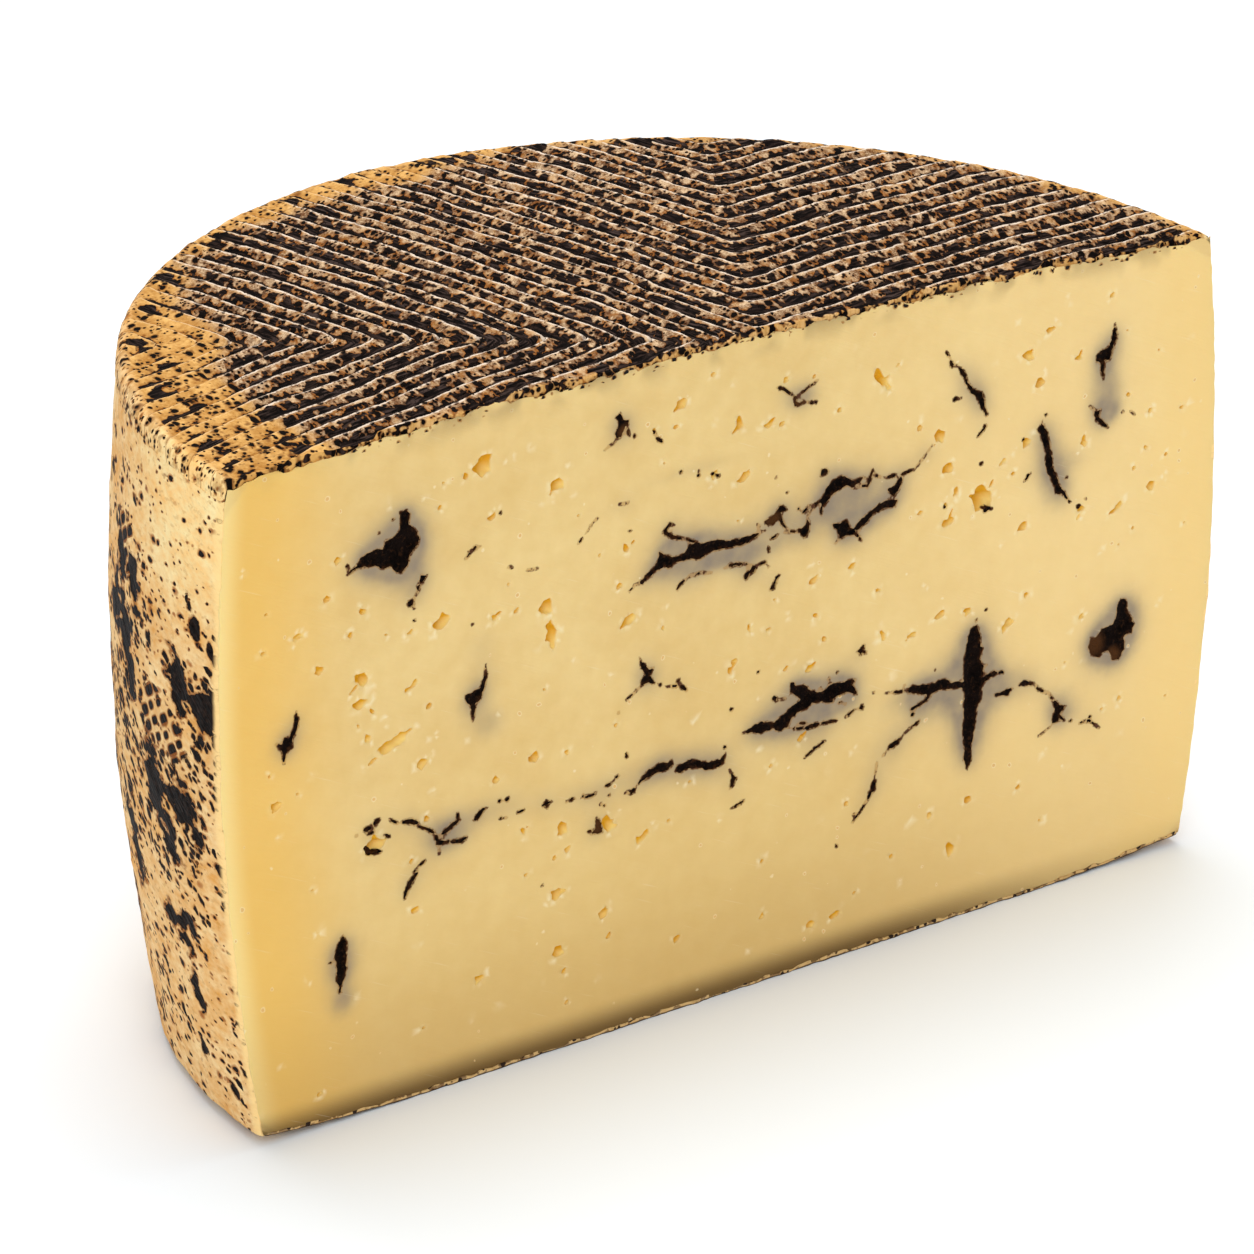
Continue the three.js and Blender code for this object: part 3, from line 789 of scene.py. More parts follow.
# Just past each crest the valley is painted near black: a painted shadow under the crest.
valley = tint(tree, valley, "060302", fade(tree, share, 0.2, 0.04), 0.75)
tree.links.new(blend(tree, dark, bank, valley), shader.inputs["Base Color"])
bumps = scaled(tree, dark, -0.6, times(tree, pits, -1.1))
bumps = scaled(tree, ragged, 0.9, bumps)
bumps = scaled(tree, fine, 0.5, bumps)
add_bump(tree, shader, bumps, 1.0, 0.0004)

rind_top = make_piece("rind_top", shell_places, shell_faces, top_paint)
# Inner points take the flat place of the outer point above them closely enough.
shell_flat = shell_places[:, :2].copy()
shell_flat[:len(top_flat)] = top_flat
# Dark patches near the rim: angle round the wheel, distance from the axis, length along the rim, width.
RIM_PATCHES = [
    (146, 89.5, 5, 3.2), (158, 88.6, 7, 3.6), (165, 88.6, 6, 3.4), (172, 88.2, 7, 3.4), (128, 90, 5, 3),
    (137, 89, 6, 3), (117, 88.6, 7, 3), (104, 89.6, 5, 2.4), (96, 90, 6, 3), (84, 89.5, 9, 3),
    (74, 90, 5, 2), (177.6, 88.4, 5, 2.4), (152, 86, 5, 3), (163, 84.5, 5, 3), (62, 89.5, 6, 2.6),
    (50, 90, 5, 2), (176, 78, 6, 3), (168, 76, 4, 2.4),
]
patch_values = np.zeros(len(shell_places))
for degrees, reach, length, width in RIM_PATCHES:
    turn = math.radians(degrees)
    from_x = shell_flat[:, 0] - reach * math.cos(turn)
    from_y = shell_flat[:, 1] - reach * math.sin(turn)
    out = (from_x * math.cos(turn) + from_y * math.sin(turn)) / width
    beside = (from_y * math.cos(turn) - from_x * math.sin(turn)) / length
    patch_values = np.maximum(patch_values, 1 - np.sqrt(out ** 2 + beside ** 2))
add_values(rind_top, "patch", patch_values)
over_rim = smooth_share(np.hypot(*shell_flat.T), INNER_RIM - 0.6, INNER_RIM + 0.8)
add_values(rind_top, "over", over_rim)
# Over the rim near the cut the skin is painted paler: partly its own colour, partly painted light.
add_values(rind_top, "pale_and_lit", over_rim * pale_and_lit_share(shell_flat[:, 1], 0))
add_values(rind_top, "plain", plainness(shell_flat[:, 0], shell_flat[:, 1]) + 0.7 * over_rim)
at_front = shell_places[:, 1] < 0.5
at_front[:len(top_flat)] = top_flat[:, 1] < 0.45
add_values(rind_top, "front", at_front & (np.hypot(*shell_flat.T) < INNER_RIM))
numbers = corner_points(rind_top)
centres = shell_flat[numbers].reshape(-1, 3, 2).mean(1)
corner_sector = np.repeat(sector_of(centres[:, 0], centres[:, 1]), 3)
map_along, map_across, _ = print_place(shell_flat[numbers, 0], shell_flat[numbers, 1], corner_sector)
add_flat_map(rind_top, "print", map_along, map_across)

# ------------------------------------------------------------------------------------------
# Rind of the side: the same skin round the bulging drum. It is peach and golden, with black
# dots, slanting streaks, charcoal patches at mid height and the woven mould's faint ladders.
# ------------------------------------------------------------------------------------------
SIDE_STEP = 0.66
SIDE_INNER_STEP = 7.0
FOOT_ROUND = 0.5
FOOT_LIFT = 1.7
FLAT_BASE_RADIUS = 55.0
# The mould's cloth lay slantwise, so its marks run down to the right along this angle.
SLANT = 0.62
PATCH_SHEAR = 0.2
LADDER_TILT = -0.53
# Places where the cloth's ladders show: angle round the wheel, height, width and height.
LADDERS = [
    (160, 86, 12, 9), (169.4, 63.5, 14, 10), (150, 60, 14, 11), (120, 70, 16, 10), (95, 50, 14, 12),
    (60, 66, 16, 10), (30, 48, 12, 12),
]
# Charcoal patches: angle round the wheel, height, width along the side, height of the patch.
SIDE_PATCHES = [
    (162.7, 82, 5, 9), (158.1, 84, 6, 8), (155.8, 74.8, 8, 8), (159.9, 71.7, 5, 13), (161.4, 67, 4, 6),
    (172.9, 72.3, 5, 8), (177.9, 70.7, 7, 7), (176.1, 82.3, 2.6, 3.2), (174.9, 86.4, 1.4, 2),
    (178.7, 80.6, 1.3, 1.9), (179.5, 79.4, 1.2, 1.6), (167.1, 76, 1.6, 2), (166.8, 52.5, 8, 12),
    (172.9, 53.2, 8, 6), (170.1, 45.4, 5, 6), (175.7, 48.7, 3, 4), (171.1, 30, 4, 5), (172, 33.2, 4, 3),
    (167.5, 31.9, 4, 4), (172, 21.5, 2.8, 5), (171.3, 11.5, 2.4, 3), (176.7, 7.5, 1.9, 2.2),
    (179, 12, 1, 1.2), (158.2, 37.4, 5, 12),
]
FAR_PATCH_COUNT = 46
rng = np.random.default_rng(71)
for step in range(FAR_PATCH_COUNT):
    SIDE_PATCHES.append((3 + step * 3.28 + rng.uniform(-1.5, 1.5), rng.uniform(18, 88), rng.uniform(3, 9),
                         rng.uniform(4, 13)))

column_count = int(math.pi * RIM_RADIUS / SIDE_STEP)
side_turns = np.linspace(0, math.pi, column_count + 1)
collar_x = (INNER_RIM + collar_reach) * np.cos(side_turns)
collar_y = (INNER_RIM + collar_reach) * np.sin(side_turns)
collar_height = top_height(collar_x, collar_y)
row_count = int((RIM_HEIGHT - SHOULDER_ROUND - COLLAR_LENGTH - FOOT_LIFT - FOOT_ROUND) / SIDE_STEP)
shares = np.linspace(0, 1, row_count + 1)
side_height = collar_height[None, :] * (1 - shares[:, None]) + (FOOT_LIFT + FOOT_ROUND) * shares[:, None]
side_reach = side_radius(side_height)
foot_bends = np.linspace(0, math.pi / 2, 4)[1:]
foot_reach = side_radius(FOOT_LIFT + FOOT_ROUND) - FOOT_ROUND * (1 - np.cos(foot_bends))
foot_height = FOOT_LIFT + FOOT_ROUND * (1 - np.sin(foot_bends)) - 0.04
side_height = np.concatenate([side_height, np.repeat(foot_height[:, None], column_count + 1, 1)])
side_reach = np.concatenate([side_reach, np.repeat(foot_reach[:, None], column_count + 1, 1)])
turn_grid = np.repeat(side_turns[None, :], len(side_height), 0)
run_grid = turn_grid * RIM_RADIUS
rim_gap = collar_height[None, :] - side_height


def patch_strength(patch_list, run, height):
    strength = np.zeros(np.shape(run))
    for degrees, level, width, tall in patch_list:
        up = height - level
        beside = run - math.radians(degrees) * RIM_RADIUS + PATCH_SHEAR * up
        off = (beside / (0.5 * width)) ** 2 + (up / (0.5 * tall)) ** 2
        strength = np.maximum(strength, 1 - 0.5 * np.sqrt(off))
    return strength


patches = patch_strength(SIDE_PATCHES, run_grid, side_height)
ladder_areas = patch_strength(LADDERS, run_grid, side_height)
ragged_edge = layered_noise(run_grid, side_height, (0.3, 1.6, 41), (0.25, 4, 42))
sunk = smooth_share(patches + ragged_edge, 0.45, 0.7)
relief = layered_noise(run_grid, side_height, (0.3, 14, 43), (0.14, 4.2, 44), (0.06, 1.4, 45))
slant = run_grid * 0.5 + side_height * 0.87
relief += 0.07 * noise(slant, side_height * 0.3, 2.2, 46) - 0.12 * sunk
corner_gap = np.minimum(run_grid, math.pi * RIM_RADIUS - run_grid)
relief = relief * smooth_share(rim_gap, 0, 4) - 0.35 * (1 - smooth_share(corner_gap, 0, 1.4)) ** 2
side_reach = side_reach + relief
side_places = np.stack([side_reach * np.cos(turn_grid), side_reach * np.sin(turn_grid), side_height], -1)
for column in (0, -1):
    side_places[:, column, 1] = 0.05 + 0.05 * (1 + noise(side_height[:, column], 0, 1.3, 47))


def grid_triangles(rows, columns):
    start = (np.arange(rows - 1)[:, None] * columns + np.arange(columns - 1)).ravel()
    lower = start + columns
    return np.concatenate([np.stack([start, lower, lower + 1], -1),
                           np.stack([start, lower + 1, start + 1], -1)])


side_rows, side_columns = side_height.shape
side_faces = grid_triangles(side_rows, side_columns)
steps_down = np.hypot(np.diff(side_height, axis=0), np.diff(side_reach, axis=0))
side_down = np.concatenate([np.zeros((1, side_columns)), np.cumsum(steps_down, 0)])
side_flat = pairs(run_grid, -side_down).reshape(-1, 2)
flat_side_places = side_places.reshape(-1, 3)
skin_depth = float(side_down.mean(1)[-1])


def inner_side(flat, border_count):
    """The plain inner skin of the side, at flat places given by run and depth."""
    loop = border_loop(side_faces)
    places = np.zeros((len(flat), 3))
    places[:border_count] = flat_side_places[loop]
    turn = np.concatenate([side_flat[loop, 0], flat[border_count:, 0]]) / RIM_RADIUS
    middle = -flat[border_count:, 1] / skin_depth
    height = np.interp(turn[border_count:], side_turns, collar_height) * (1 - middle) + 3 * middle
    places[border_count:, 2] = height
    reach = np.concatenate([np.hypot(places[:border_count, 0], places[:border_count, 1]),
                            side_radius(height)]) - SIDE_SKIN
    places[:, 2] += np.where(places[:, 2] < FOOT_LIFT + 0.3, SIDE_SKIN, 0)
    kept_y = places[:border_count, 1].copy()
    places[:, 0], places[:, 1] = reach * np.cos(turn), reach * np.sin(turn)
    at_cut = (turn[:border_count] < 1e-6) | (turn[:border_count] > math.pi - 1e-6)
    places[:border_count, 1] = np.where(at_cut, kept_y, places[:border_count, 1])
    return places


mesh_x, mesh_y = grid_places(np.arange(5, math.pi * RIM_RADIUS - 4, SIDE_INNER_STEP),
                             -np.arange(5, 92, SIDE_INNER_STEP))
side_shell, side_shell_faces = close_shell(
    flat_side_places, side_faces, side_flat, pairs(mesh_x, mesh_y), inner_side)

# Beans: long holes of the cloth, one in each cell of a loose lattice, with a stained ring.
beans, given, result = new_group(
    "beans", {"Vector": None, "Share": 0.5, "Scatter": 0.65}, ["Mask", "Lining"])
cells = put(beans, "ShaderNodeTexVoronoi",
            {"Vector": given["Vector"], "Scale": 1.0, "Randomness": given["Scatter"], "Exponent": 2.8},
            voronoi_dimensions="2D", distance="MINKOWSKI")
draws = put(beans, "ShaderNodeSeparateColor", {0: cells.outputs["Color"]}).outputs
reach = scaled(beans, draws[0], 0.22, 0.22)
ratio = calc(beans, "DIVIDE", cells.outputs["Distance"], reach)
chosen = calc(beans, "LESS_THAN", draws[1], given["Share"])
spot_and_ring(beans, ratio, chosen, (0.88, 1.04), (1.0, 1.5), result)

side_paint, tree, shader = new_material("side_rind", Roughness=0.65, Specular_IOR_Level=0.06)
places = millimetres(tree)
flat = put(tree, "ShaderNodeUVMap", uv_map="drum").outputs[0]
level = put(tree, "ShaderNodeSeparateXYZ", {0: places}).outputs[2]
patch = value_of(tree, "patch")
corner = value_of(tree, "corner")
# upper is where the side near the rim and the cut is painted paler: partly its own colour, partly painted
# light.
upper = value_of(tree, "upper")
bent = shaken(tree, flat, 0.5, 2.0, 1.5)
broad = cloud(tree, flat, 11.0, 2.0)
middle = times(tree, fade(tree, level, 86.0, 66.0), fade(tree, level, 30.0, 50.0))
crowd = scaled(tree, patch, 0.4, scaled(tree, broad, 1.6, -0.76))
crowd = scaled(tree, middle, 0.36, crowd)
crowd = larger(tree, scaled(tree, upper, -0.5, crowd), 0.0)
base = use_group(tree, skin, {"Vector": stretch(tree, flat, (0.6, 1.0, 1.0)),
                              "Pores": scaled(tree, crowd, 0.4, 0.36), "Golden": 0.8, "Pale_and_lit": upper})
ragged = cloud(tree, stretch(tree, flat, (0.65, 1.0, 1.0)), 2.6, 3.0, 0.5)
amount = scaled(tree, centred(tree, ragged), 1.8, patch)
dark = fade(tree, amount, 0.5, 0.54)
drops = use_group(tree, beans, {"Vector": stretch(tree, bent, (0.36, 0.64, 1.0), SLANT),
                                "Share": times(tree, crowd, 0.85)})
flecks = use_group(tree, beans, {"Vector": stretch(tree, bent, (0.55, 0.92, 1.0), 0.3),
                                 "Share": times(tree, crowd, 0.7)})
lattice = stretch(tree, flat, (0.27, 0.43, 1.0), LADDER_TILT)
rungs = use_group(tree, beans, {"Vector": lattice, "Share": 0.92, "Scatter": 0.3})
# Pale rails part the rows of beans.
row = put(tree, "ShaderNodeSeparateXYZ", {0: lattice}).outputs[1]
row = calc(tree, "FRACT", calc(tree, "ADD", row, 0.35))
rail = calc(tree, "ABSOLUTE", centred(tree, row))
in_ladder = fade(tree, scaled(tree, centred(tree, ragged), 1.0, value_of(tree, "ladder")), 0.4, 0.5)
off_ladder = opposite(tree, in_ladder)
in_rung = times(tree, in_ladder, fade(tree, rail, 0.36, 0.3))
loose = times(tree, larger(tree, drops[0], flecks[0]), off_ladder)
marks = larger(tree, dark, times(tree, rungs[0], in_rung))
marks = larger(tree, marks, loose)
clear_corner = opposite(tree, fade(tree, corner, 0.55, 0.9))
marks = times(tree, marks, clear_corner)
lining = times(tree, fade(tree, amount, 0.3, 0.5), 0.8)
loose_rings = times(tree, larger(tree, drops[1], flecks[1]), off_ladder)
lining = larger(tree, lining, times(tree, loose_rings, 0.8))
lining = larger(tree, lining, times(tree, rungs[1], in_ladder))
dinge = times(tree, middle, fade(tree, broad, 0.3, 0.7))
body = blend(tree, times(tree, dinge, 0.25), base[0], "C08A4C")
body = tint(tree, body, "8A4E1C", times(tree, lining, clear_corner))
body = tint(tree, body, "FFDA94", fade(tree, corner, 0.4, 0.98), 0.85)
charcoal = blend(tree, fade(tree, cloud(tree, bent, 1.0, 3.0), 0.42, 0.7), "0A0402", "26170F")
tree.links.new(blend(tree, marks, body, charcoal), shader.inputs["Base Color"])
weave = cloud(tree, stretch(tree, flat, (0.4, 1.5, 1.0), SLANT), 1.2, 3.0)
bumps = scaled(tree, marks, -0.8, times(tree, weave, 0.9))
bumps = scaled(tree, lining, 0.4, bumps)
bumps = calc(tree, "ADD", bumps, base[1])
add_bump(tree, shader, bumps, 1.0, 0.0004)

rind_side = make_piece("rind_side", side_shell, side_shell_faces, side_paint)
side_values = {
    "patch": (patches, 0),
    "ladder": (ladder_areas, 0),
    "corner": (1 - smooth_share(corner_gap, 0, 3.5), 1),
    # Painted paler near the rim at the cut, partly painted light.
    "upper": (pale_and_lit_share(side_places[..., 1], rim_gap), 0),
}
extra = len(side_shell) - len(flat_side_places)
for name, (values, inner_value) in side_values.items():
    add_values(rind_side, name, np.append(values.ravel(), np.full(extra, inner_value)))
numbers = corner_points(rind_side)
shell_run = np.arctan2(side_shell[:, 1], side_shell[:, 0]) * RIM_RADIUS
add_flat_map(rind_side, "drum", shell_run[numbers], side_shell[numbers, 2])

# ------------------------------------------------------------------------------------------
# Rind of the base: the skin that the wheel stands on, flat in the middle and lifted a little
# at the foot. The knife leaves a thin lip of it along the bottom of the cut.
# ------------------------------------------------------------------------------------------
BASE_SKIN = 0.6
base_edge = float(side_radius(FOOT_LIFT + FOOT_ROUND)) - 0.75


def base_lift(reach):
    share = np.clip((reach - FLAT_BASE_RADIUS) / (base_edge + 0.7 - FLAT_BASE_RADIUS), 0, 1)
    return FOOT_LIFT * share ** 2


base_turns = np.linspace(0, math.pi, 300)
lip_x = np.linspace(-base_edge, base_edge, 420)[1:-1]
lip_y = -0.08 + 0.12 * noise(lip_x, 0, 2.1, 51) + 0.07 * noise(lip_x, 4, 0.8, 52)
outline = np.concatenate([
    pairs(base_edge * np.cos(base_turns), np.maximum(base_edge * np.sin(base_turns), 0)),
    pairs(lip_x, lip_y)])
coarse = np.arange(-92.0, 92.1, 2.0)
mesh_x, mesh_y = grid_places(coarse, coarse)
inside = (mesh_y > 1) & (np.hypot(mesh_x, mesh_y) < base_edge - 1)
base_flat, base_faces = triangulate(*gather([
    (outline, ring_edges(len(outline))), (pairs(mesh_x[inside], mesh_y[inside]), [])]))
reach = np.hypot(base_flat[:, 0], base_flat[:, 1])
grain = 0.05 * (1 + noise(base_flat[:, 0], base_flat[:, 1], 3, 53))
base_under = np.concatenate([base_flat, (base_lift(reach) + grain)[:, None]], 1)


def base_over(flat, border_count):
    reach = np.hypot(flat[:, 0], flat[:, 1])
    lip = np.where((flat[:, 1] < 0.5), 0.3 * noise(flat[:, 0], 2, 1.7, 54), 0)
    return np.concatenate([flat, (base_lift(reach) + BASE_SKIN + lip)[:, None]], 1)


base_inner = pairs(mesh_x[inside][::4], mesh_y[inside][::4])
base_shell, base_shell_faces = close_shell(base_under, base_faces, base_flat, base_inner, base_over)
base_paint, tree, shader = new_material("base_rind", Roughness=0.6, Specular_IOR_Level=0.12)
places = millimetres(tree)
base = use_group(tree, skin, {"Vector": places, "Golden": 0.3, "Pores": 0.4})
woven = put(tree, "ShaderNodeTexWave", {"Vector": places, "Scale": 0.09, "Distortion": 1.0, "Detail": 2.0},
            bands_direction="DIAGONAL").outputs["Fac"]
dots = use_group(tree, specks, {"Vector": places, "Spacing": 1.5, "Radius": 0.42, "Share": 0.5})[0]
lip_colour = blend(tree, fade(tree, cloud(tree, places, 1.4), 0.48, 0.56), "D2AE72", "6F5230")
foot = value_of(tree, "foot")
lip_colour = blend(tree, foot, base[0], lip_colour)
# The lowest edge of the lip is painted dark brown, a painted contact shadow on the board.
stain_and_shadow = times(tree, fade(tree, foot, 0.15, 0.45), fade(tree, foot, 0.75, 0.55))
lip_colour = tint(tree, lip_colour, "3A2717", stain_and_shadow)
tree.links.new(blend(tree, dots, lip_colour, "2B1C13"), shader.inputs["Base Color"])
bumps = scaled(tree, woven, 0.8, base[1])
add_bump(tree, shader, bumps, 0.6, 0.0003)
rind_base = make_piece("rind_base", base_shell, base_shell_faces, base_paint)
# The foot marks the lip along the cut, which is painted dark where it meets the board: a painted contact
# shadow.
foot = np.where(base_shell[:, 1] < 0.3, 0.5, 0.0)
foot[len(base_under):] *= 2.0
add_values(rind_base, "foot", foot)

# ------------------------------------------------------------------------------------------
# Paste: the pressed curd, cut with a knife. Small angular eyes open in the cut face, and the
# truffle's channels cross it with a grey halo round them.
# ------------------------------------------------------------------------------------------
# Eyes: place along the cut, height, width and height of each.
EYES = [
    (-20.8, 67.3, 2.8, 1.6), (-21.2, 78.8, 2.0, 1.6), (-22.5, 73.2, 1.2, 1.0), (0.7, 85, 2.4, 1.6),
    (-4.7, 86.8, 1.8, 1.0), (13.8, 67.9, 1.0, 0.6), (14.2, 64.8, 2.0, 1.2), (21.8, 65.2, 2.2, 1.2),
    (35, 84.8, 1.3, 1.1), (38.9, 82.3, 1.8, 2.0), (40.5, 76.5, 2.0, 1.9), (40.2, 70.6, 0.9, 1.4),
    (40.4, 67.6, 3.2, 1.4), (35, 70.6, 1.6, 0.7), (-14.4, 64.5, 0.8, 1.2), (-0.9, 55.3, 1.4, 1.0),
    (-1.7, 53.8, 1.0, 2.2), (14.7, 58.8, 1.4, 1.2), (5.7, 59, 1.4, 0.7), (1.9, 60, 0.9, 1.4),
    (9.5, 60.2, 1.1, 0.7), (8.9, 51.4, 1.6, 0.7), (13.3, 50.2, 2.6, 1.0), (16.3, 54.5, 1.3, 1.1),
    (27.9, 52.4, 1.3, 2.3), (27, 60, 1.4, 1.3), (12, 39, 2.2, 1.3), (-18.4, 31, 3.4, 1.5),
    (39.2, 52.6, 2.3, 1.0), (45, 51.9, 2.0, 1.2), (33.6, 50.7, 2.2, 1.1), (53, 48, 3.0, 1.7),
    (56.6, 51.5, 2.0, 0.8), (67.8, 45, 1.8, 1.0), (45.2, 19.3, 1.4, 1.4), (37.5, 19.2, 1.1, 1.5),
    (55.6, 19, 1.4, 1.3), (21, 25.6, 1.1, 1.0), (75.9, 28.8, 1.0, 1.3), (68.8, 37.2, 0.8, 0.8),
    (51.9, 75.5, 1.8, 1.0), (56.3, 77.3, 2.0, 1.7), (56.3, 91.7, 2.6, 1.6), (58.8, 86.6, 2.2, 1.9),
    (47.7, 70.2, 4.0, 4.2), (53.8, 72.6, 1.1, 0.8), (42.3, 72.4, 1.1, 2.2), (67.8, 74.6, 2.0, 1.8),
    (55.8, 63.3, 2.0, 1.4), (67.6, 63.3, 2.0, 1.4), (75.2, 62.1, 2.8, 1.4), (81.7, 63.8, 1.9, 1.7),
    (81.2, 76.5, 1.3, 0.9), (82.9, 86.3, 1.2, 1.4), (76.3, 91.2, 1.1, 0.7), (66.5, 88.8, 1.8, 0.9),
    (61, 95, 2.2, 1.1), (73, 97.8, 1.5, 1.4), (-85.4, 54.3, 2.2, 1.4), (-59.3, 54.2, 2.6, 1.5),
    (-65, 58.7, 6.6, 2.0), (-69.8, 70.3, 2.4, 3.0), (-70, 66.6, 3.7, 1.6), (-61.1, 66.8, 2.4, 1.1),
    (-67.9, 64.8, 0.8, 1.7), (-70.6, 63.2, 0.8, 0.8), (-65.6, 62.8, 0.9, 1.1), (-69, 60.7, 0.9, 1.4),
    (-77.3, 73.6, 1.7, 1.5), (-55.4, 75.6, 2.9, 2.0), (-61, 75.6, 1.8, 1.3), (-65.2, 76.4, 1.2, 1.0),
    (-71.6, 77.8, 1.1, 1.4), (-69.3, 81, 1.0, 1.4), (-81.2, 80, 2.2, 1.0), (-87, 79, 1.2, 1.2),
    (-75.5, 84.6, 1.6, 1.1), (-73.5, 90.2, 1.8, 0.9), (-55.3, 93.8, 1.2, 1.0), (-50.4, 97.4, 1.4, 1.5),
    (-47, 98.6, 3.6, 2.8), (-45.8, 90.1, 1.8, 1.4), (-86.2, 85, 1.0, 0.9), (-57.8, 62.8, 1.4, 1.0),
    (-56.8, 58, 1.5, 0.7), (-54.4, 97.7, 1.1, 0.8), (-68, 43.6, 3.8, 3.0), (-61.5, 38.8, 1.2, 1.0),
    (-60.8, 30.7, 1.7, 1.0), (-46, 47.7, 1.5, 1.1), (-39, 49.5, 2.0, 2.0), (-32.8, 48.8, 1.0, 0.9),
    (-40.8, 38, 1.2, 2.1), (-33.6, 36.6, 1.8, 2.3), (-35.2, 32.1, 1.5, 1.0), (-33, 32.8, 1.5, 1.3),
    (-25, 34.8, 2.2, 3.0), (-35, 26, 2.4, 2.0), (-26.3, 20.4, 2.0, 1.9), (-34.7, 16.3, 2.2, 1.9),
    (-49.2, 16.2, 2.0, 1.1), (-25.2, 16.2, 1.2, 0.8), (-40.5, 30.8, 1.2, 0.8), (-58.5, 44.9, 1.0, 1.3),
    (-4.8, 103, 1.2, 1.0), (-10.8, 99.8, 2.0, 1.9), (-0.8, 100.8, 1.2, 1.0), (8.9, 98.8, 1.4, 1.3),
    (0.3, 93.8, 1.6, 2.4), (5.5, 92.3, 2.2, 1.1), (8.2, 91.9, 1.5, 0.9), (19.3, 91.4, 1.6, 1.2),
    (14.4, 98, 1.1, 0.8), (-15.8, 96.6, 1.0, 0.9), (-33.6, 92.6, 2.6, 2.0), (27.6, 94, 1.8, 4.6),
    (-36, 73.4, 2.4, 2.8), (-35.2, 68.4, 2.2, 4.2), (-45.5, 74, 1.8, 1.3), (-41.7, 74, 1.5, 1.2),
    (42, 12, 1.9, 2.6), (13.9, 7, 2.4, 1.4), (18.9, 7.2, 2.4, 1.4), (-33.6, 12.8, 1.6, 1.2),
    (4.5, 20.5, 1.4, 1.0), (30, 14, 1.2, 1.4), (60, 12, 1.5, 1.0), (-12, 12, 1.4, 1.1),
]
SMALL_EYE_COUNT = 90
EYE_INSET = 0.08
EYE_CORNERS = 5
# An eye wider or taller than this has a torn tail.
LEAST_TORN = 1.7
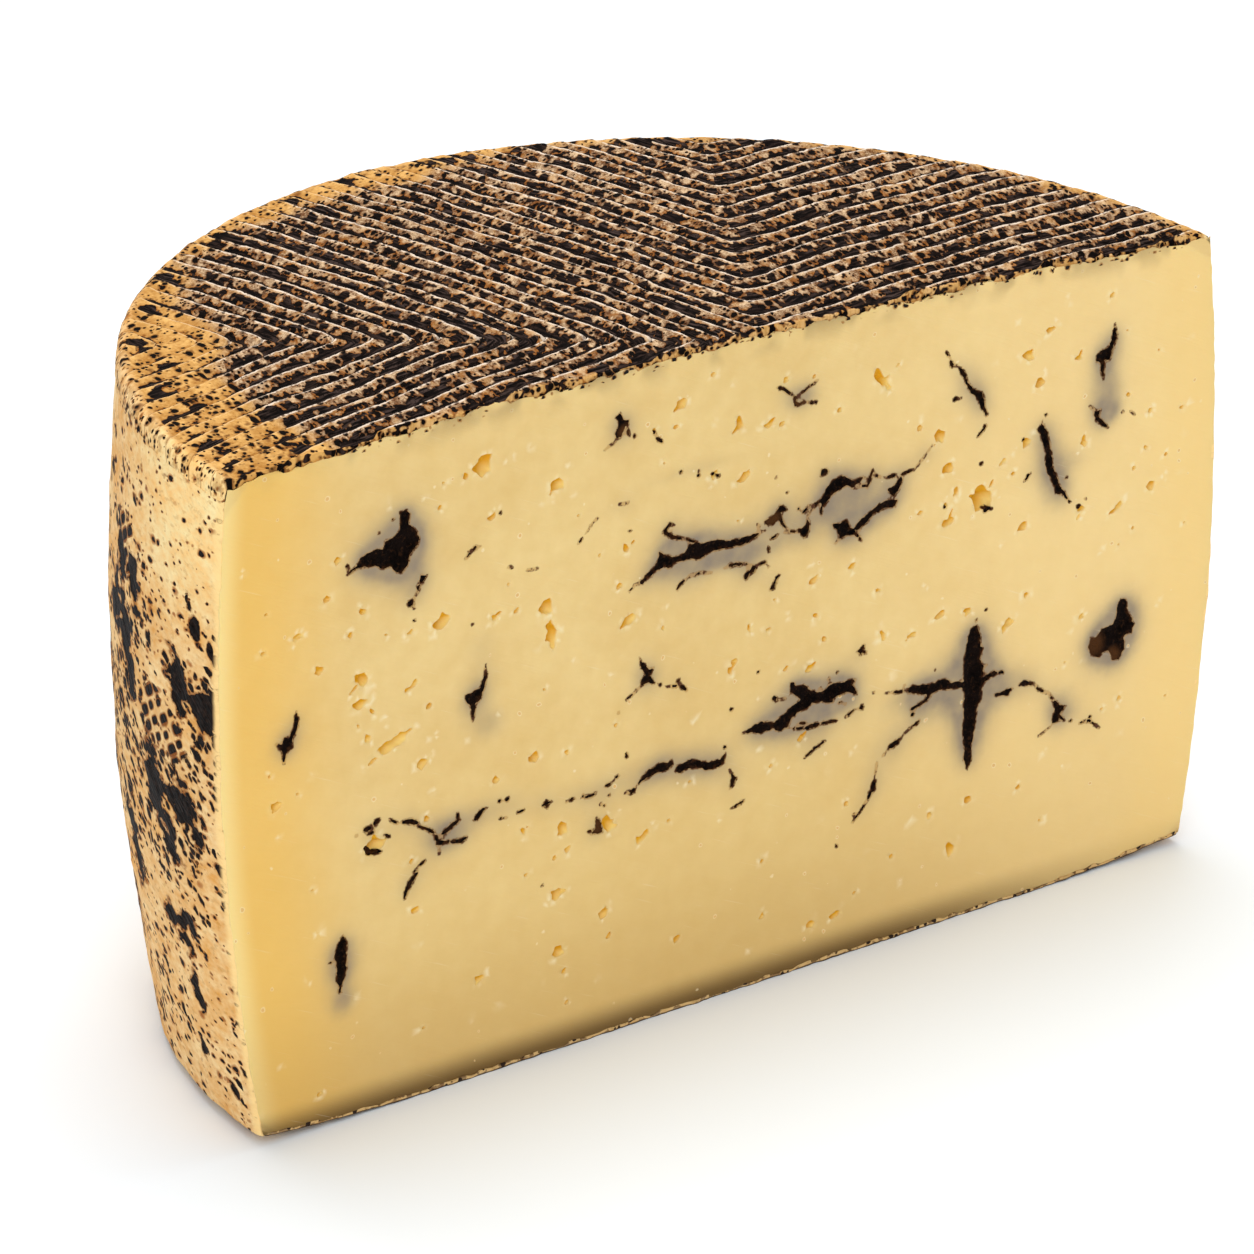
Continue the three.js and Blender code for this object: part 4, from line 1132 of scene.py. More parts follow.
# Truffle: outlines of the broad pieces on the cut, as places along it and heights.
TRUFFLE_PIECES = [
    [(-20.7, 71.9), (-19.9, 72.8), (-18.6, 73.0), (-17.6, 73.7), (-16.4, 74.4), (-15.4, 75.3),
     (-15.1, 76.9), (-14.2, 76.2), (-13.2, 75.7), (-11.8, 75.4), (-10.3, 75.5), (-9.6, 76.7), (-8.2, 76.5),
     (-6.7, 76.2), (-4.8, 76.3), (-2.8, 75.7), (0, 75.2), (2.2, 75.1), (3.9, 75.5), (5.4, 75.4),
     (3.6, 74.8), (2, 74.3), (0.3, 73.9), (-1.6, 74.2), (-3.3, 74.4), (-5.2, 74.5), (-7.2, 73.8),
     (-9.1, 73.9), (-10.1, 74.4), (-12.5, 74.1), (-13.6, 73.6), (-14.2, 74.2), (-15.8, 73.7), (-17.3, 73.1),
     (-18.2, 72.4), (-19.2, 72.6)],
    [(-3.2, 71.1), (-1.9, 71.6), (0, 71.5), (1.5, 71), (2.5, 70.4), (3.4, 69.8), (2.9, 68.9), (2.1, 69.1),
     (1.4, 68.1), (0.8, 68.5), (1, 69.2), (1.9, 69.7), (2.2, 70.1), (1, 70.6), (-0.9, 71)],
    [(5.6, 65.4), (6.6, 66.5), (6.9, 67.1), (7.7, 67.4), (7.1, 66.2), (6.7, 65.4)],
    [(4.6, 76.9), (5.6, 77), (7.0, 77.7), (7.6, 79), (8.3, 78.6), (9.1, 77.6), (8, 77.5), (8.5, 75.6),
     (9, 74.7), (8, 75.4), (7.5, 76.5), (6.2, 75.9), (5.4, 76.1)],
    [(11.2, 74), (11.8, 72.9), (12.4, 72.2), (13.1, 72.4), (13.5, 74), (13.4, 75.9), (12.9, 75.9),
     (12.8, 74.7), (12.2, 74)],
    [(14.2, 77.2), (15.9, 77.9), (16.6, 79.2), (17.8, 80.1), (19.8, 80.7), (20.9, 79.9), (22.2, 79.3),
     (23.9, 79.4), (23.3, 78.6), (21.7, 78.1), (20.7, 78.9), (19.6, 78.5), (18.1, 77.9), (16.9, 76.9),
     (16.1, 76.1), (15.9, 75.2), (15.4, 76.0), (15.6, 77.0)],
    [(28.6, 76.3), (30.1, 76.6), (31.3, 77.8), (31.7, 77), (31, 75.4), (30.1, 74.7), (29.1, 75.5)],
    [(22, 71.3), (23.6, 72.6), (25.2, 73.4), (27, 74.3), (29.2, 74.3), (30.6, 73.9), (30.2, 73.1),
     (28, 73.4), (26.4, 72.8), (24.6, 71.8), (23, 70.9)],
    [(17.8, 73.3), (19.4, 72.8), (20.6, 73.3), (21.3, 71.9), (22.3, 71), (23.2, 69.6), (23.9, 68.8),
     (22.4, 69.9), (20.6, 70.4), (19.4, 70.3), (18, 69.5), (19.2, 71), (18.7, 72)],
    [(15.5, 81.5), (16, 82.5), (16.8, 82.6), (17.4, 81.9), (16.8, 81.4)],
    [(-19, 60.9), (-18.5, 59.7), (-17.7, 59.2), (-17.1, 58.2), (-16.2, 58.3), (-16.8, 57.2), (-16.1, 55.7),
     (-17.3, 56.2), (-18.7, 55.7), (-18.8, 56.8), (-18, 57.6), (-18.5, 58.7)],
    [(-20.9, 38.6), (-20.5, 39.4), (-19.7, 39.6), (-20.1, 38.8)],
    [(-19.4, 40.1), (-18.6, 41), (-17.3, 41.8), (-15.7, 42.1), (-14.6, 42.2), (-13.9, 41.8), (-13, 42.1),
     (-12.7, 41.3), (-13.8, 40.7), (-15.3, 40.8), (-16.7, 40.7), (-18.2, 40.3), (-19.3, 39.8)],
    [(-12.6, 40.1), (-11.9, 40.8), (-9.8, 41.3), (-8.2, 40.9), (-7.3, 40.3), (-5.7, 40.1), (-4, 39.9),
     (-3, 40.3), (-2.6, 40.7), (-2.7, 39), (-4, 38.7), (-6.1, 38.7), (-7.3, 39.3), (-8.2, 39.7),
     (-9.8, 39.8), (-11.5, 39.7)],
    [(-2, 37.7), (-1.2, 36.4), (-0.6, 35.8), (-1, 34.6), (-1.9, 34.4), (-1.8, 35.6), (-1.5, 36.2)],
    [(0.6, 42.9), (1.6, 43.3), (3.1, 43.8), (4.3, 43.9), (5.2, 43.5), (6.8, 43.1), (8.1, 43.7), (9.3, 44.7),
     (11, 45.3), (11.6, 45.8), (10.6, 46.8), (9.7, 47.2), (9.9, 48.8), (10.5, 48.7), (10.8, 48),
     (12.2, 47.9), (12.9, 47.6), (13.7, 46.6), (15, 46.1), (16, 46), (17.7, 46.6), (19.8, 46.3),
     (21.8, 46.5), (22.6, 46.2), (22.2, 45.3), (23.2, 43.4), (22, 43.9), (21.4, 44.2), (19.3, 44.3),
     (17.9, 44), (18.4, 43.3), (17, 43.7), (16, 44.1), (15.2, 44.2), (14.1, 44.5), (13.1, 43.8),
     (11.4, 43.6), (10.2, 42.9), (9.3, 41.5), (7.7, 41.5), (6.4, 42.2), (4.7, 42), (3.1, 42.3),
     (1.8, 42.7)],
    [(10.2, 41.2), (11, 41.1), (12.9, 40.9), (14.7, 41), (15.6, 40.6), (15.2, 40.1), (13.5, 40.2),
     (12.2, 40.4), (10.6, 40.9)],
    [(23.3, 41), (23.8, 41.4), (24.4, 41.1), (24, 40.7)],
    [(6.1, 47.2), (6.7, 47.6), (7.4, 47.1), (7.1, 46.5)],
    [(22.7, 50.8), (23.3, 51.1), (23.9, 51.7), (24.6, 51.4), (24, 50.9), (24.6, 50.1), (23.9, 50.3),
     (23.4, 49.8), (23.3, 50.5)],
    [(28, 42.4), (29.1, 42.3), (31, 42.1), (32.4, 41.8), (34, 42), (35.8, 41.9), (37.4, 41.5), (39.3, 41.6),
     (41, 41.5), (41.8, 40.6), (43.2, 40.2), (44.6, 40.2), (44.6, 39.3), (42.5, 39.3), (41.1, 39.6),
     (39.8, 40), (37.9, 39.5), (36.5, 38.6), (35.1, 38), (33.5, 38), (33.6, 38.5), (35.1, 38.7),
     (36.3, 39.2), (36.6, 39.8), (34.9, 40.2), (34, 40.6), (32.6, 41.3), (31, 41.6), (29.1, 41.9)],
    [(46, 49), (46.8, 49.1), (47.4, 47.5), (47.5, 45.2), (48, 44.7), (47.7, 42.9), (48.2, 42), (49.6, 41.8),
     (48.3, 41.4), (48.1, 39.9), (50.4, 40.4), (52, 39.7), (53.4, 39.2), (51.3, 39.5), (49.5, 39.2),
     (48.3, 38.8), (48.1, 38), (47.9, 36.2), (47.2, 35), (46.7, 32.9), (46.3, 30.8), (45.9, 28.1),
     (45.8, 26.2), (45.1, 24.9), (44.5, 26.7), (44.3, 28.5), (44.1, 30.8), (44.2, 33.2), (44.2, 35.5),
     (44.3, 37.8), (44, 39.4), (44, 42.9), (44.5, 45.2), (44.9, 47.1), (45.4, 48.4)],
    [(35.9, 36.7), (35.5, 35.5), (34.3, 35), (33, 34.5), (31.6, 33.5), (30.9, 32.9), (29.9, 32.5),
     (29, 32.4), (29.3, 33.4), (30.6, 33.7), (31.4, 33.9), (32.6, 34.9), (33.8, 35.5), (35, 36)],
    [(27.8, 31.5), (28.2, 32.2), (28.7, 32.1), (28.3, 31.6)],
    [(50.4, 36.1), (52.3, 36.3), (54.3, 36.4), (53.2, 35.2), (52, 35.6)],
    [(55, 36.3), (56.2, 37), (57.4, 36.7), (58.5, 36.2), (58, 35.7), (56.4, 36.3)],
    [(62.1, 32.2), (63.1, 31.9), (63.8, 31), (65, 30.4), (64.3, 29.7), (63.8, 29.2), (63.6, 28.2),
     (62.4, 28.1), (62.2, 29), (62.9, 29.9), (62.6, 30.9)],
    [(76, 46), (77, 45.5), (77.3, 44.3), (77.5, 43.1), (78.6, 42), (79.1, 40.8), (78.4, 39.5), (77, 39.2),
     (77, 36.9), (75.9, 35.4), (74.6, 35.9), (73.8, 37.8), (72.6, 37.8), (71.7, 37), (70.3, 37.8),
     (69.5, 39.2), (69.9, 40.9), (71.2, 40.6), (72.2, 41.8), (74.5, 41.9), (75, 42.9), (75.3, 44.7)],
    [(42.1, 93.5), (43.4, 92.2), (44.1, 91.3), (44.4, 90.1), (45.6, 88.6), (47.1, 87.9), (47.7, 86.2),
     (48.1, 84.1), (46.9, 85.3), (46.6, 86.5), (45.5, 87.6), (44.4, 88.8), (43.8, 90.3), (42.8, 92)],
    [(40.6, 95.3), (41.1, 94.3), (41.6, 93.6), (41.2, 93.2), (40.6, 94.2)],
    [(59.2, 80), (58.4, 78.8), (59.1, 77.7), (59.5, 76.4), (60.2, 74.4), (59.9, 73), (60.2, 71.6),
     (61.2, 70), (61.9, 68.6), (62.3, 67.4), (63.6, 66.7), (65.2, 65.1), (64.2, 67.2), (63.1, 68.5),
     (62.5, 69.9), (61.5, 72), (61.6, 74), (60.9, 76), (60.2, 78.4)],
    [(55.7, 70.8), (56.4, 71.8), (57.3, 72), (56.7, 71.1)],
    [(73.7, 93), (74.2, 91.7), (74.1, 90.3), (73.5, 88.9), (73.1, 87.1), (72, 86.9), (71.7, 85.5),
     (71.5, 84.1), (71, 85.7), (70.9, 87.2), (70.1, 87.6), (69.7, 88.7), (71.3, 89.2), (72.2, 89.3),
     (73.1, 90.3), (73.4, 91.7)],
    [(69.2, 80.1), (70.3, 79.3), (71.2, 79.2), (70.9, 78), (71.7, 77.1), (72.9, 75.7), (72.2, 76),
     (70.9, 77), (70.2, 78), (69.7, 79)],
    [(-62.4, 95), (-61.1, 95), (-60.6, 94.2), (-60.9, 92.7), (-59.9, 91.8), (-59.1, 90.3), (-59.2, 88.9),
     (-60.7, 87.8), (-61.1, 86.4), (-62.3, 85.3), (-63.3, 85.8), (-64, 86.9), (-65.5, 86.8), (-66.9, 87.6),
     (-68.8, 88), (-70.3, 87.8), (-72, 87.5), (-70.3, 88.7), (-69.1, 89.9), (-66.9, 90.3), (-65.7, 90.1),
     (-65.2, 91.1), (-63.8, 91.2), (-62.7, 92), (-62.2, 93.5)],
    [(-59.1, 83.1), (-58.9, 84.1), (-57.8, 83.8), (-58.5, 83)],
    [(-60, 82.7), (-58.9, 82.8), (-59.3, 81.6)],
    [(-61.5, 80.7), (-60.1, 80.8), (-60.2, 79.7), (-61.2, 79.8)],
    [(-50.2, 85.7), (-49, 86.4), (-47.8, 86.1), (-48.9, 85.6)],
    [(-81.3, 68.3), (-81, 66.8), (-81.3, 65.8), (-81.9, 64.6), (-82.1, 62.9), (-83, 62.3), (-83.5, 61),
     (-83.8, 60), (-84, 61.5), (-84.1, 62.5), (-84.7, 63.2), (-85.2, 64.4), (-84, 63.9), (-83.7, 64.9),
     (-82.8, 64.5), (-82.2, 65.6), (-81.7, 67)],
    [(-47.4, 66.9), (-47, 65.3), (-47.6, 63.4), (-48.1, 61.7), (-49.2, 60.9), (-49.4, 59.8), (-49.9, 58.4),
     (-50.1, 60.5), (-50.7, 61.5), (-51.3, 63.1), (-50.1, 63), (-49.4, 63.4), (-48.4, 63.4), (-47.9, 64.7)],
    [(-74.1, 30.4), (-73.5, 29.4), (-73.2, 28.5), (-73.5, 26.4), (-73.7, 24.5), (-74.2, 22.6), (-74.5, 21),
     (-75.2, 21.2), (-75.3, 23.1), (-75.6, 25.5), (-75.6, 27.3), (-75, 29), (-74.5, 30)],
    [(-57.3, 42), (-56.4, 41.8), (-56.2, 41), (-55.5, 40.6), (-54.4, 40.4), (-54.5, 39.9), (-56.2, 39.9),
     (-57.1, 40.2), (-57.2, 41.2)],
    [(-50, 42.3), (-49.2, 43.4), (-48.4, 43.9), (-47.5, 43.7), (-48.4, 43), (-49.2, 42.3)],
    [(-33, 40.7), (-32, 41.2), (-31.1, 41), (-31.9, 40.5)],
    [(-30.3, 40.5), (-29.8, 41.5), (-29.4, 40.9), (-28.1, 40.7), (-26.7, 41), (-28, 40.2), (-29.3, 40.1)],
    [(-27.4, 36.6), (-26.2, 35.2), (-26, 33.7), (-28.5, 34.1), (-27.7, 34.8)],
    [(-22.2, 100.9), (-23.1, 100.4), (-22.5, 99.5), (-22.6, 98.5), (-23.3, 97.9), (-23, 96.8), (-22, 96.8),
     (-21.5, 97.7), (-21.3, 98.5), (-20.7, 98.6), (-20.5, 99.6), (-21.6, 99.5), (-21.9, 100.1)],
    [(10.2, 96.1), (11.1, 95.6), (10.9, 94.8), (11.6, 94.5), (12.4, 94.7), (13.3, 94.4), (12.4, 94),
     (10.6, 94.1), (10.5, 95)],
]
# Thin threads of it: greatest width, then the places that each runs through.
TRUFFLE_THREADS = [
    (0.6, (-12.3, 80.4), (-13.2, 80.9), (-14.1, 79.8), (-12.5, 78.6), (-10.1, 77.7), (-8.1, 76.6)),
    (0.5, (-11.8, 69.9), (-11.2, 70.6), (-10.3, 71)), (0.35, (-9.6, 71.4), (-7.4, 71.5), (-5.3, 71)),
    (0.5, (3.7, 70.1), (5.1, 70.1)), (0.45, (5.4, 72.6), (5.6, 71.7)), (0.45, (6, 73.7), (7.4, 74.1)),
    (0.4, (8.7, 74.2), (10.4, 73.8), (11.6, 73.6)), (0.4, (12.2, 76.4), (13.6, 77.3)),
    (0.35, (13.7, 76.3), (15.9, 77.7)), (0.45, (22.2, 78), (23.6, 78), (25, 77.7)),
    (0.5, (24.8, 77.5), (25.2, 78.8), (25.8, 80.2)), (0.4, (26, 79.2), (27.4, 78.5)),
    (0.55, (28.4, 78.2), (30.2, 78.2)), (0.55, (31.4, 78), (33.8, 78.2)),
    (0.3, (34, 78.2), (35.6, 79.6), (37.4, 81.3)), (0.4, (31.4, 77.8), (30.9, 76.6)),
    (0.35, (-21.4, 54.4), (-18.7, 55.9)), (0.45, (-13.7, 54.5), (-11.8, 54.1)),
    (0.45, (-11.2, 54), (-10, 52.9)), (0.4, (-11.9, 54.5), (-11.4, 55.2)),
    (0.3, (-22, 39.1), (-20.4, 39.2)), (0.55, (16.1, 40.5), (18.9, 40.2)), (0.45, (11.7, 41.7), (13, 41.3)),
    (0.45, (20.6, 40.3), (22.4, 41.1)), (0.3, (7.4, 46.7), (9, 46.6)),
    (0.5, (12.6, 35.6), (14.6, 36.6), (16.7, 37.3)), (0.35, (-1.6, 31), (0.9, 31.6)),
    (0.4, (27, 31), (26.6, 28.8)), (0.9, (26.5, 28), (26.2, 26.4)), (0.6, (25.8, 26.3), (25.3, 25.3)),
    (0.35, (25.2, 25.2), (24, 23.8), (22.2, 22.1)),
    (0.4, (58.4, 36), (59.4, 34.8), (61.5, 33.6), (62.5, 32)), (0.45, (63.7, 29.2), (64.8, 28)),
    (0.3, (59.4, 26.6), (62, 27.7)), (0.4, (67.9, 26.7), (70, 26.6), (72, 24.8)),
    (0.35, (39.9, 96), (40.7, 95)), (0.35, (47.9, 84.6), (48.1, 83.6)), (0.4, (46.4, 80.7), (48.2, 82)),
    (0.4, (68.8, 80.3), (70, 79.4)), (0.35, (77.3, 77.5), (78.2, 76.6)),
    (0.35, (-59.1, 82.2), (-60.3, 80.6)), (0.35, (-50.7, 84.7), (-49.6, 85.7)),
    (0.3, (-28.9, 83), (-27.6, 84.5), (-26.4, 85.3)), (0.3, (-30.2, 81.9), (-29.4, 82.6)),
    (0.3, (-43.1, 81.5), (-42.2, 81.1)), (0.3, (-39.6, 80), (-37.6, 79.8)),
    (0.3, (-22.6, 86.4), (-20.9, 86.2)), (0.4, (-65.4, 46.8), (-63.8, 45.7)),
    (0.65, (-62.9, 45.6), (-61.3, 45.3), (-60.2, 44.7)), (0.4, (-60, 44.1), (-58.2, 43.1), (-57.2, 42.2)),
    (0.75, (-55.9, 41.7), (-54.2, 42.5), (-52.6, 43.2)), (0.4, (-52.9, 43.3), (-52.9, 44.2)),
    (0.7, (-54.2, 40), (-52.4, 39.6), (-51.3, 40)), (0.35, (-56.4, 40), (-56.4, 38.6)),
    (0.5, (-59, 38.3), (-60.1, 37.7)), (0.75, (-60.4, 36.6), (-61.8, 35.5), (-62.5, 34.2), (-62.9, 33.2)),
    (0.7, (-69.8, 46.2), (-68.8, 46.3)), (0.7, (-68, 46.8), (-67.2, 47.2)),
    (0.5, (-69.3, 45.4), (-68, 45.5)), (0.7, (-69.5, 43.2), (-69, 42.2)), (0.4, (-68.6, 42.1), (-66.8, 42)),
    (0.45, (-66.1, 44.5), (-65.3, 43.9)), (0.5, (-42, 41.4), (-40.7, 41.5)),
    (0.45, (-37.4, 41.3), (-35.7, 41.5)), (0.4, (-36.7, 42), (-36.4, 40.6)),
    (0.45, (-25.6, 41.3), (-24.6, 41.4)), (0.4, (-29, 34.7), (-28, 34.6)),
    (0.45, (7.4, 97.9), (8.7, 97.3), (10.2, 96)), (0.45, (11.3, 95.6), (13.2, 96.5), (15.1, 97.3)),
    (0.45, (-15.6, 95.3), (-14.4, 94.4)), (0.4, (-20.9, 97.9), (-20.6, 97)),
    (0.3, (-25.2, 95.7), (-23.2, 96.5)), (0.35, (47.6, 68.4), (49.6, 67.8)),
]
# Crumbs of it: place along the cut, height and width of each.
TRUFFLE_CRUMBS = [
    (-7.7, 87.4, 0.9), (-5, 87, 0.6), (-4, 86.4, 0.5), (-20.6, 81.6, 0.6), (11.4, 77.3, 0.5),
    (9.1, 80.5, 0.5), (3.4, 76.7, 0.4), (3.6, 75.9, 0.4), (-15, 55.2, 0.6), (-2.8, 41.6, 0.6),
    (-21.5, 45.1, 0.8), (-23.4, 42.2, 0.7), (-1.5, 47.5, 0.6), (3.7, 52.3, 0.5), (26.2, 43, 0.4),
    (22.4, 23.3, 0.6), (19, 18.9, 0.5), (66.2, 27.6, 0.6), (70.1, 27.2, 0.6), (48.5, 51.2, 0.5),
    (46.6, 49.9, 0.4), (41.9, 87.9, 0.9), (42.9, 87.8, 0.4), (47.2, 75.9, 0.7), (47.8, 82, 0.7),
    (55.6, 77.9, 0.6), (48.2, 67.9, 0.9), (40, 70.5, 0.5), (66.9, 63.9, 1.0), (68.4, 64.9, 0.5),
    (75.6, 77.7, 0.5), (70.2, 77.7, 0.4), (60, 81, 0.4), (-60.2, 77.3, 0.5), (-49.7, 74, 0.5),
    (-44.4, 90.4, 0.5), (-60.2, 79.2, 0.3), (-71.9, 88.9, 0.5), (-63.7, 94.2, 0.4), (-66.2, 92.7, 0.4),
    (-76.4, 26.5, 0.5), (-71.3, 45.7, 0.5), (-60.9, 37.1, 0.5), (-45.2, 44.2, 0.7), (-43.8, 44.1, 0.8),
    (-45, 41.3, 0.5), (-44.1, 41.2, 0.5), (-23.3, 42.3, 0.6), (-24.9, 39.6, 0.5), (-26.5, 38.5, 0.5),
    (-25.8, 38.1, 0.5), (-37.6, 28.2, 0.5), (-21.6, 45.6, 0.5), (-19.6, 96.6, 0.6), (-15.9, 96.2, 0.6),
    (13.9, 93.9, 0.7), (14.7, 93.8, 0.4), (-11, 88.8, 0.6), (-7.6, 88.2, 0.4), (7, 83.4, 0.4),
    (19.5, 43.1, 0.4), (20.6, 42.6, 0.4), (17.3, 47.6, 0.5), (18.9, 48.3, 0.4), (15.6, 46.6, 0.4),
    (17.4, 46.9, 0.5), (34, 37.2, 0.8), (32.3, 42.6, 0.4), (64.3, 69.4, 0.5), (38.4, 43.5, 0.3),
    (5.6, 69.2, 0.3), (-23, 52.6, 0.4),
]
# Grey veils in the paste where truffle lies just under the cut: place, height, width, height, depth.
VEILS = [
    (72.3, 81.6, 5, 7, 0.9), (73, 78.6, 3, 2.4, 0.9), (-47, 57, 5, 4, 0.55), (-48, 70, 5, 5, 0.3),
    (-74.4, 19.4, 3.4, 3.4, 0.9), (20.5, 75.5, 10, 4, 0.45), (-1, 72.6, 14, 2.4, 0.6),
    (-12.4, 77, 4, 1.6, 0.6), (14.6, 42.6, 12, 2, 0.5), (33, 39.8, 8, 2.6, 0.35), (-55, 41.6, 6, 4, 0.5),
    (-45, 43, 12, 4, 0.28), (-26, 41, 16, 4, 0.3), (62, 69, 5, 8, 0.35), (66, 72, 6, 3, 0.3),
    (45, 90, 5, 6, 0.2), (52, 38, 10, 4, 0.35), (12, 95.4, 5, 3, 0.5), (-9, 88.6, 16, 1.6, 0.3),
    (28, 32, 8, 8, 0.25), (-60, 84, 5, 6, 0.3), (40, 36, 10, 3, 0.2), (36.4, 80.4, 4, 3, 0.3),
    (-22, 86, 6, 3, 0.2), (65, 30, 5, 5, 0.35),
]
# The cut is worked out on a fine field of places that reaches a little past it.
FIELD_STEP = 0.16
FIELD_REACH = 96.0
FIELD_TOP = 110.0
FAR_OFF = 9.0
CHANNEL_DEPTH = 1.5
field_x = np.arange(-FIELD_REACH, FIELD_REACH + 0.01, FIELD_STEP)
field_z = np.arange(0.0, FIELD_TOP + 0.01, FIELD_STEP)
grid_x, grid_z = np.meshgrid(field_x, field_z)


def outline_gap(points, x, z):
    """Distance from places to a closed outline, negative inside it."""
    points = np.array(points, float)
    nearest, inside = np.full(x.shape, FAR_OFF), np.zeros(x.shape, bool)
    for (ax, az), (bx, bz) in zip(points, np.roll(points, -1, 0)):
        dx, dz = bx - ax, bz - az
        share = np.clip(((x - ax) * dx + (z - az) * dz) / (dx * dx + dz * dz), 0, 1)
        nearest = np.minimum(nearest, np.hypot(x - ax - share * dx, z - az - share * dz))
        if dz:
            inside ^= ((az > z) != (bz > z)) & (x < ax + (z - az) * dx / dz)
    return np.where(inside, -nearest, nearest)


def window(points, margin):
    """The part of the field round some places, as two slices."""
    points = np.array(points, float)
    (low_x, low_z), (high_x, high_z) = points.min(0) - margin, points.max(0) + margin
    column = [int(np.clip((v + FIELD_REACH) / FIELD_STEP, 0, len(field_x))) for v in (low_x, high_x)]
    row = [int(np.clip(v / FIELD_STEP, 0, len(field_z))) for v in (low_z, high_z)]
    return slice(*row), slice(*column)


THREAD_ROUGHNESS = 0.35
THREAD_STEPS = 40
# Crumbs are a little wider than high.
CRUMB_SQUEEZE = 1.2
VEIN_MARGIN = 3
lump_field = np.full(grid_x.shape, FAR_OFF)
for points in TRUFFLE_PIECES:
    part = window(points, VEIN_MARGIN)
    lump_field[part] = np.minimum(lump_field[part], outline_gap(points, grid_x[part], grid_z[part]))
vein_field = np.full(grid_x.shape, FAR_OFF)
for width, *points in TRUFFLE_THREADS:
    line = np.array(points, float)
    joints = np.linspace(0, 1, len(line))
    steps = np.linspace(0, 1, THREAD_STEPS)
    line = pairs(np.interp(steps, joints, line[:, 0]), np.interp(steps, joints, line[:, 1]))
    half = 0.5 * width * (0.45 + 0.65 * np.sin(math.pi * steps) ** 0.5)
    part = window(line, VEIN_MARGIN)
    away = np.hypot(grid_x[part][..., None] - line[:, 0], grid_z[part][..., None] - line[:, 1]) - half
    vein_field[part] = np.minimum(vein_field[part], away.min(-1))
for x, z, size in TRUFFLE_CRUMBS:
    part = window([(x, z)], VEIN_MARGIN)
    away = np.hypot(grid_x[part] - x, (grid_z[part] - z) * CRUMB_SQUEEZE) - 0.5 * size
    vein_field[part] = np.minimum(vein_field[part], away)
crumbly = layered_noise(grid_x, grid_z, (0.2, 1.3, 62), (0.16, 0.6, 63), (0.08, 0.35, 64))
lump_field = lump_field + crumbly * smooth_share(-lump_field, -1.5, 0.5)
vein_field = np.minimum(lump_field, vein_field + THREAD_ROUGHNESS * crumbly)

eye_field = np.full(grid_x.shape, FAR_OFF)
# Height inside an eye, from its foot at -0.5 to its roof at 0.5, by which the eye's painted shade deepens
# towards its roof.
eye_rise = np.zeros(grid_x.shape)
rng = np.random.default_rng(65)
eyes = list(EYES)
while len(eyes) < len(EYES) + SMALL_EYE_COUNT:
    x, z = rng.uniform(-90, 90), rng.uniform(5, 102)
    size = rng.uniform(0.4, 0.9) * rng.uniform(0.7, 1.0)
    near_vein = vein_field[int(z / FIELD_STEP), int((x + FIELD_REACH) / FIELD_STEP)] < 2
    if not near_vein and all(math.hypot(x - e[0], z - e[1]) > 3 for e in eyes):
        eyes.append((x, z, size * rng.uniform(1, 1.6), size))
for x, z, width, tall in eyes:
    part = window([(x, z)], 1.2 * (width + tall))
    turns = rng.uniform(0, 1) + np.cumsum(rng.uniform(0.8, 1.6, EYE_CORNERS)) * 2 * math.pi / 6
    reaches = rng.uniform(0.36, 0.58, EYE_CORNERS)
    lean = rng.uniform(0.1, 0.6)
    off_x, off_z = grid_x[part] - x, grid_z[part] - z
    from_x = (off_x * math.cos(lean) + off_z * math.sin(lean)) / width
    from_z = (off_z * math.cos(lean) - off_x * math.sin(lean)) / tall
    away = np.max([from_x * math.cos(t) + from_z * math.sin(t) - r for t, r in zip(turns, reaches)], 0)
    away = away * min(width, tall) + EYE_INSET
    if max(width, tall) > LEAST_TORN:
        # A torn tail runs up to the right from a larger eye, or down to the left.
        lean, length = rng.uniform(0.5, 1.1), rng.choice([-1, 1]) * 0.85 * max(width, tall)
        tail = np.linspace(0, 1, 14)
        tail_x, tail_z = x + length * math.cos(lean) * tail, z + length * math.sin(lean) * tail
        gap = np.hypot(grid_x[part][..., None] - tail_x, grid_z[part][..., None] - tail_z)
        away = np.minimum(away, (gap - 0.3 * (1.2 - tail)).min(-1))
    rough_edge = 0.16 + 0.07 * min(width, tall)
    away = away + rough_edge * noise(grid_x[part], grid_z[part], 0.9, 66)
    eye_rise[part] = np.where(away < eye_field[part], from_z - 0.35 * from_x, eye_rise[part])
    eye_field[part] = np.minimum(eye_field[part], away)
hole_field = np.minimum(vein_field, eye_field)


def contour(field, level):
    """Points and edges of the lines where a field crosses a level, by marching squares."""
    below = field < level
    flat_cross = below[:, :-1] != below[:, 1:]
    up_cross = below[:-1, :] != below[1:, :]
    flat_ids = np.full(flat_cross.shape, -1)
    flat_ids[flat_cross] = np.arange(flat_cross.sum())
    up_ids = np.full(up_cross.shape, -1)
    up_ids[up_cross] = np.arange(up_cross.sum()) + flat_cross.sum()

    def crossings(first, second, crossed, first_place, second_place):
        share = (level - first[crossed]) / (second[crossed] - first[crossed])
        share = np.clip(share, 0.15, 0.85)[:, None]
        return first_place[crossed] * (1 - share) + second_place[crossed] * share

    places = pairs(grid_x, grid_z)
    points = np.concatenate([
        crossings(field[:, :-1], field[:, 1:], flat_cross, places[:, :-1], places[:, 1:]),
        crossings(field[:-1], field[1:], up_cross, places[:-1], places[1:])])
    ids = np.stack([flat_ids[:-1], up_ids[:, :-1], flat_ids[1:], up_ids[:, 1:]], -1).reshape(-1, 4)
    counts = (ids >= 0).sum(1)
    lines = np.sort(ids[counts == 2], 1)[:, 2:]
    saddles = ids[counts == 4]
    return points, np.concatenate([lines, saddles[:, :2], saddles[:, 2:]])


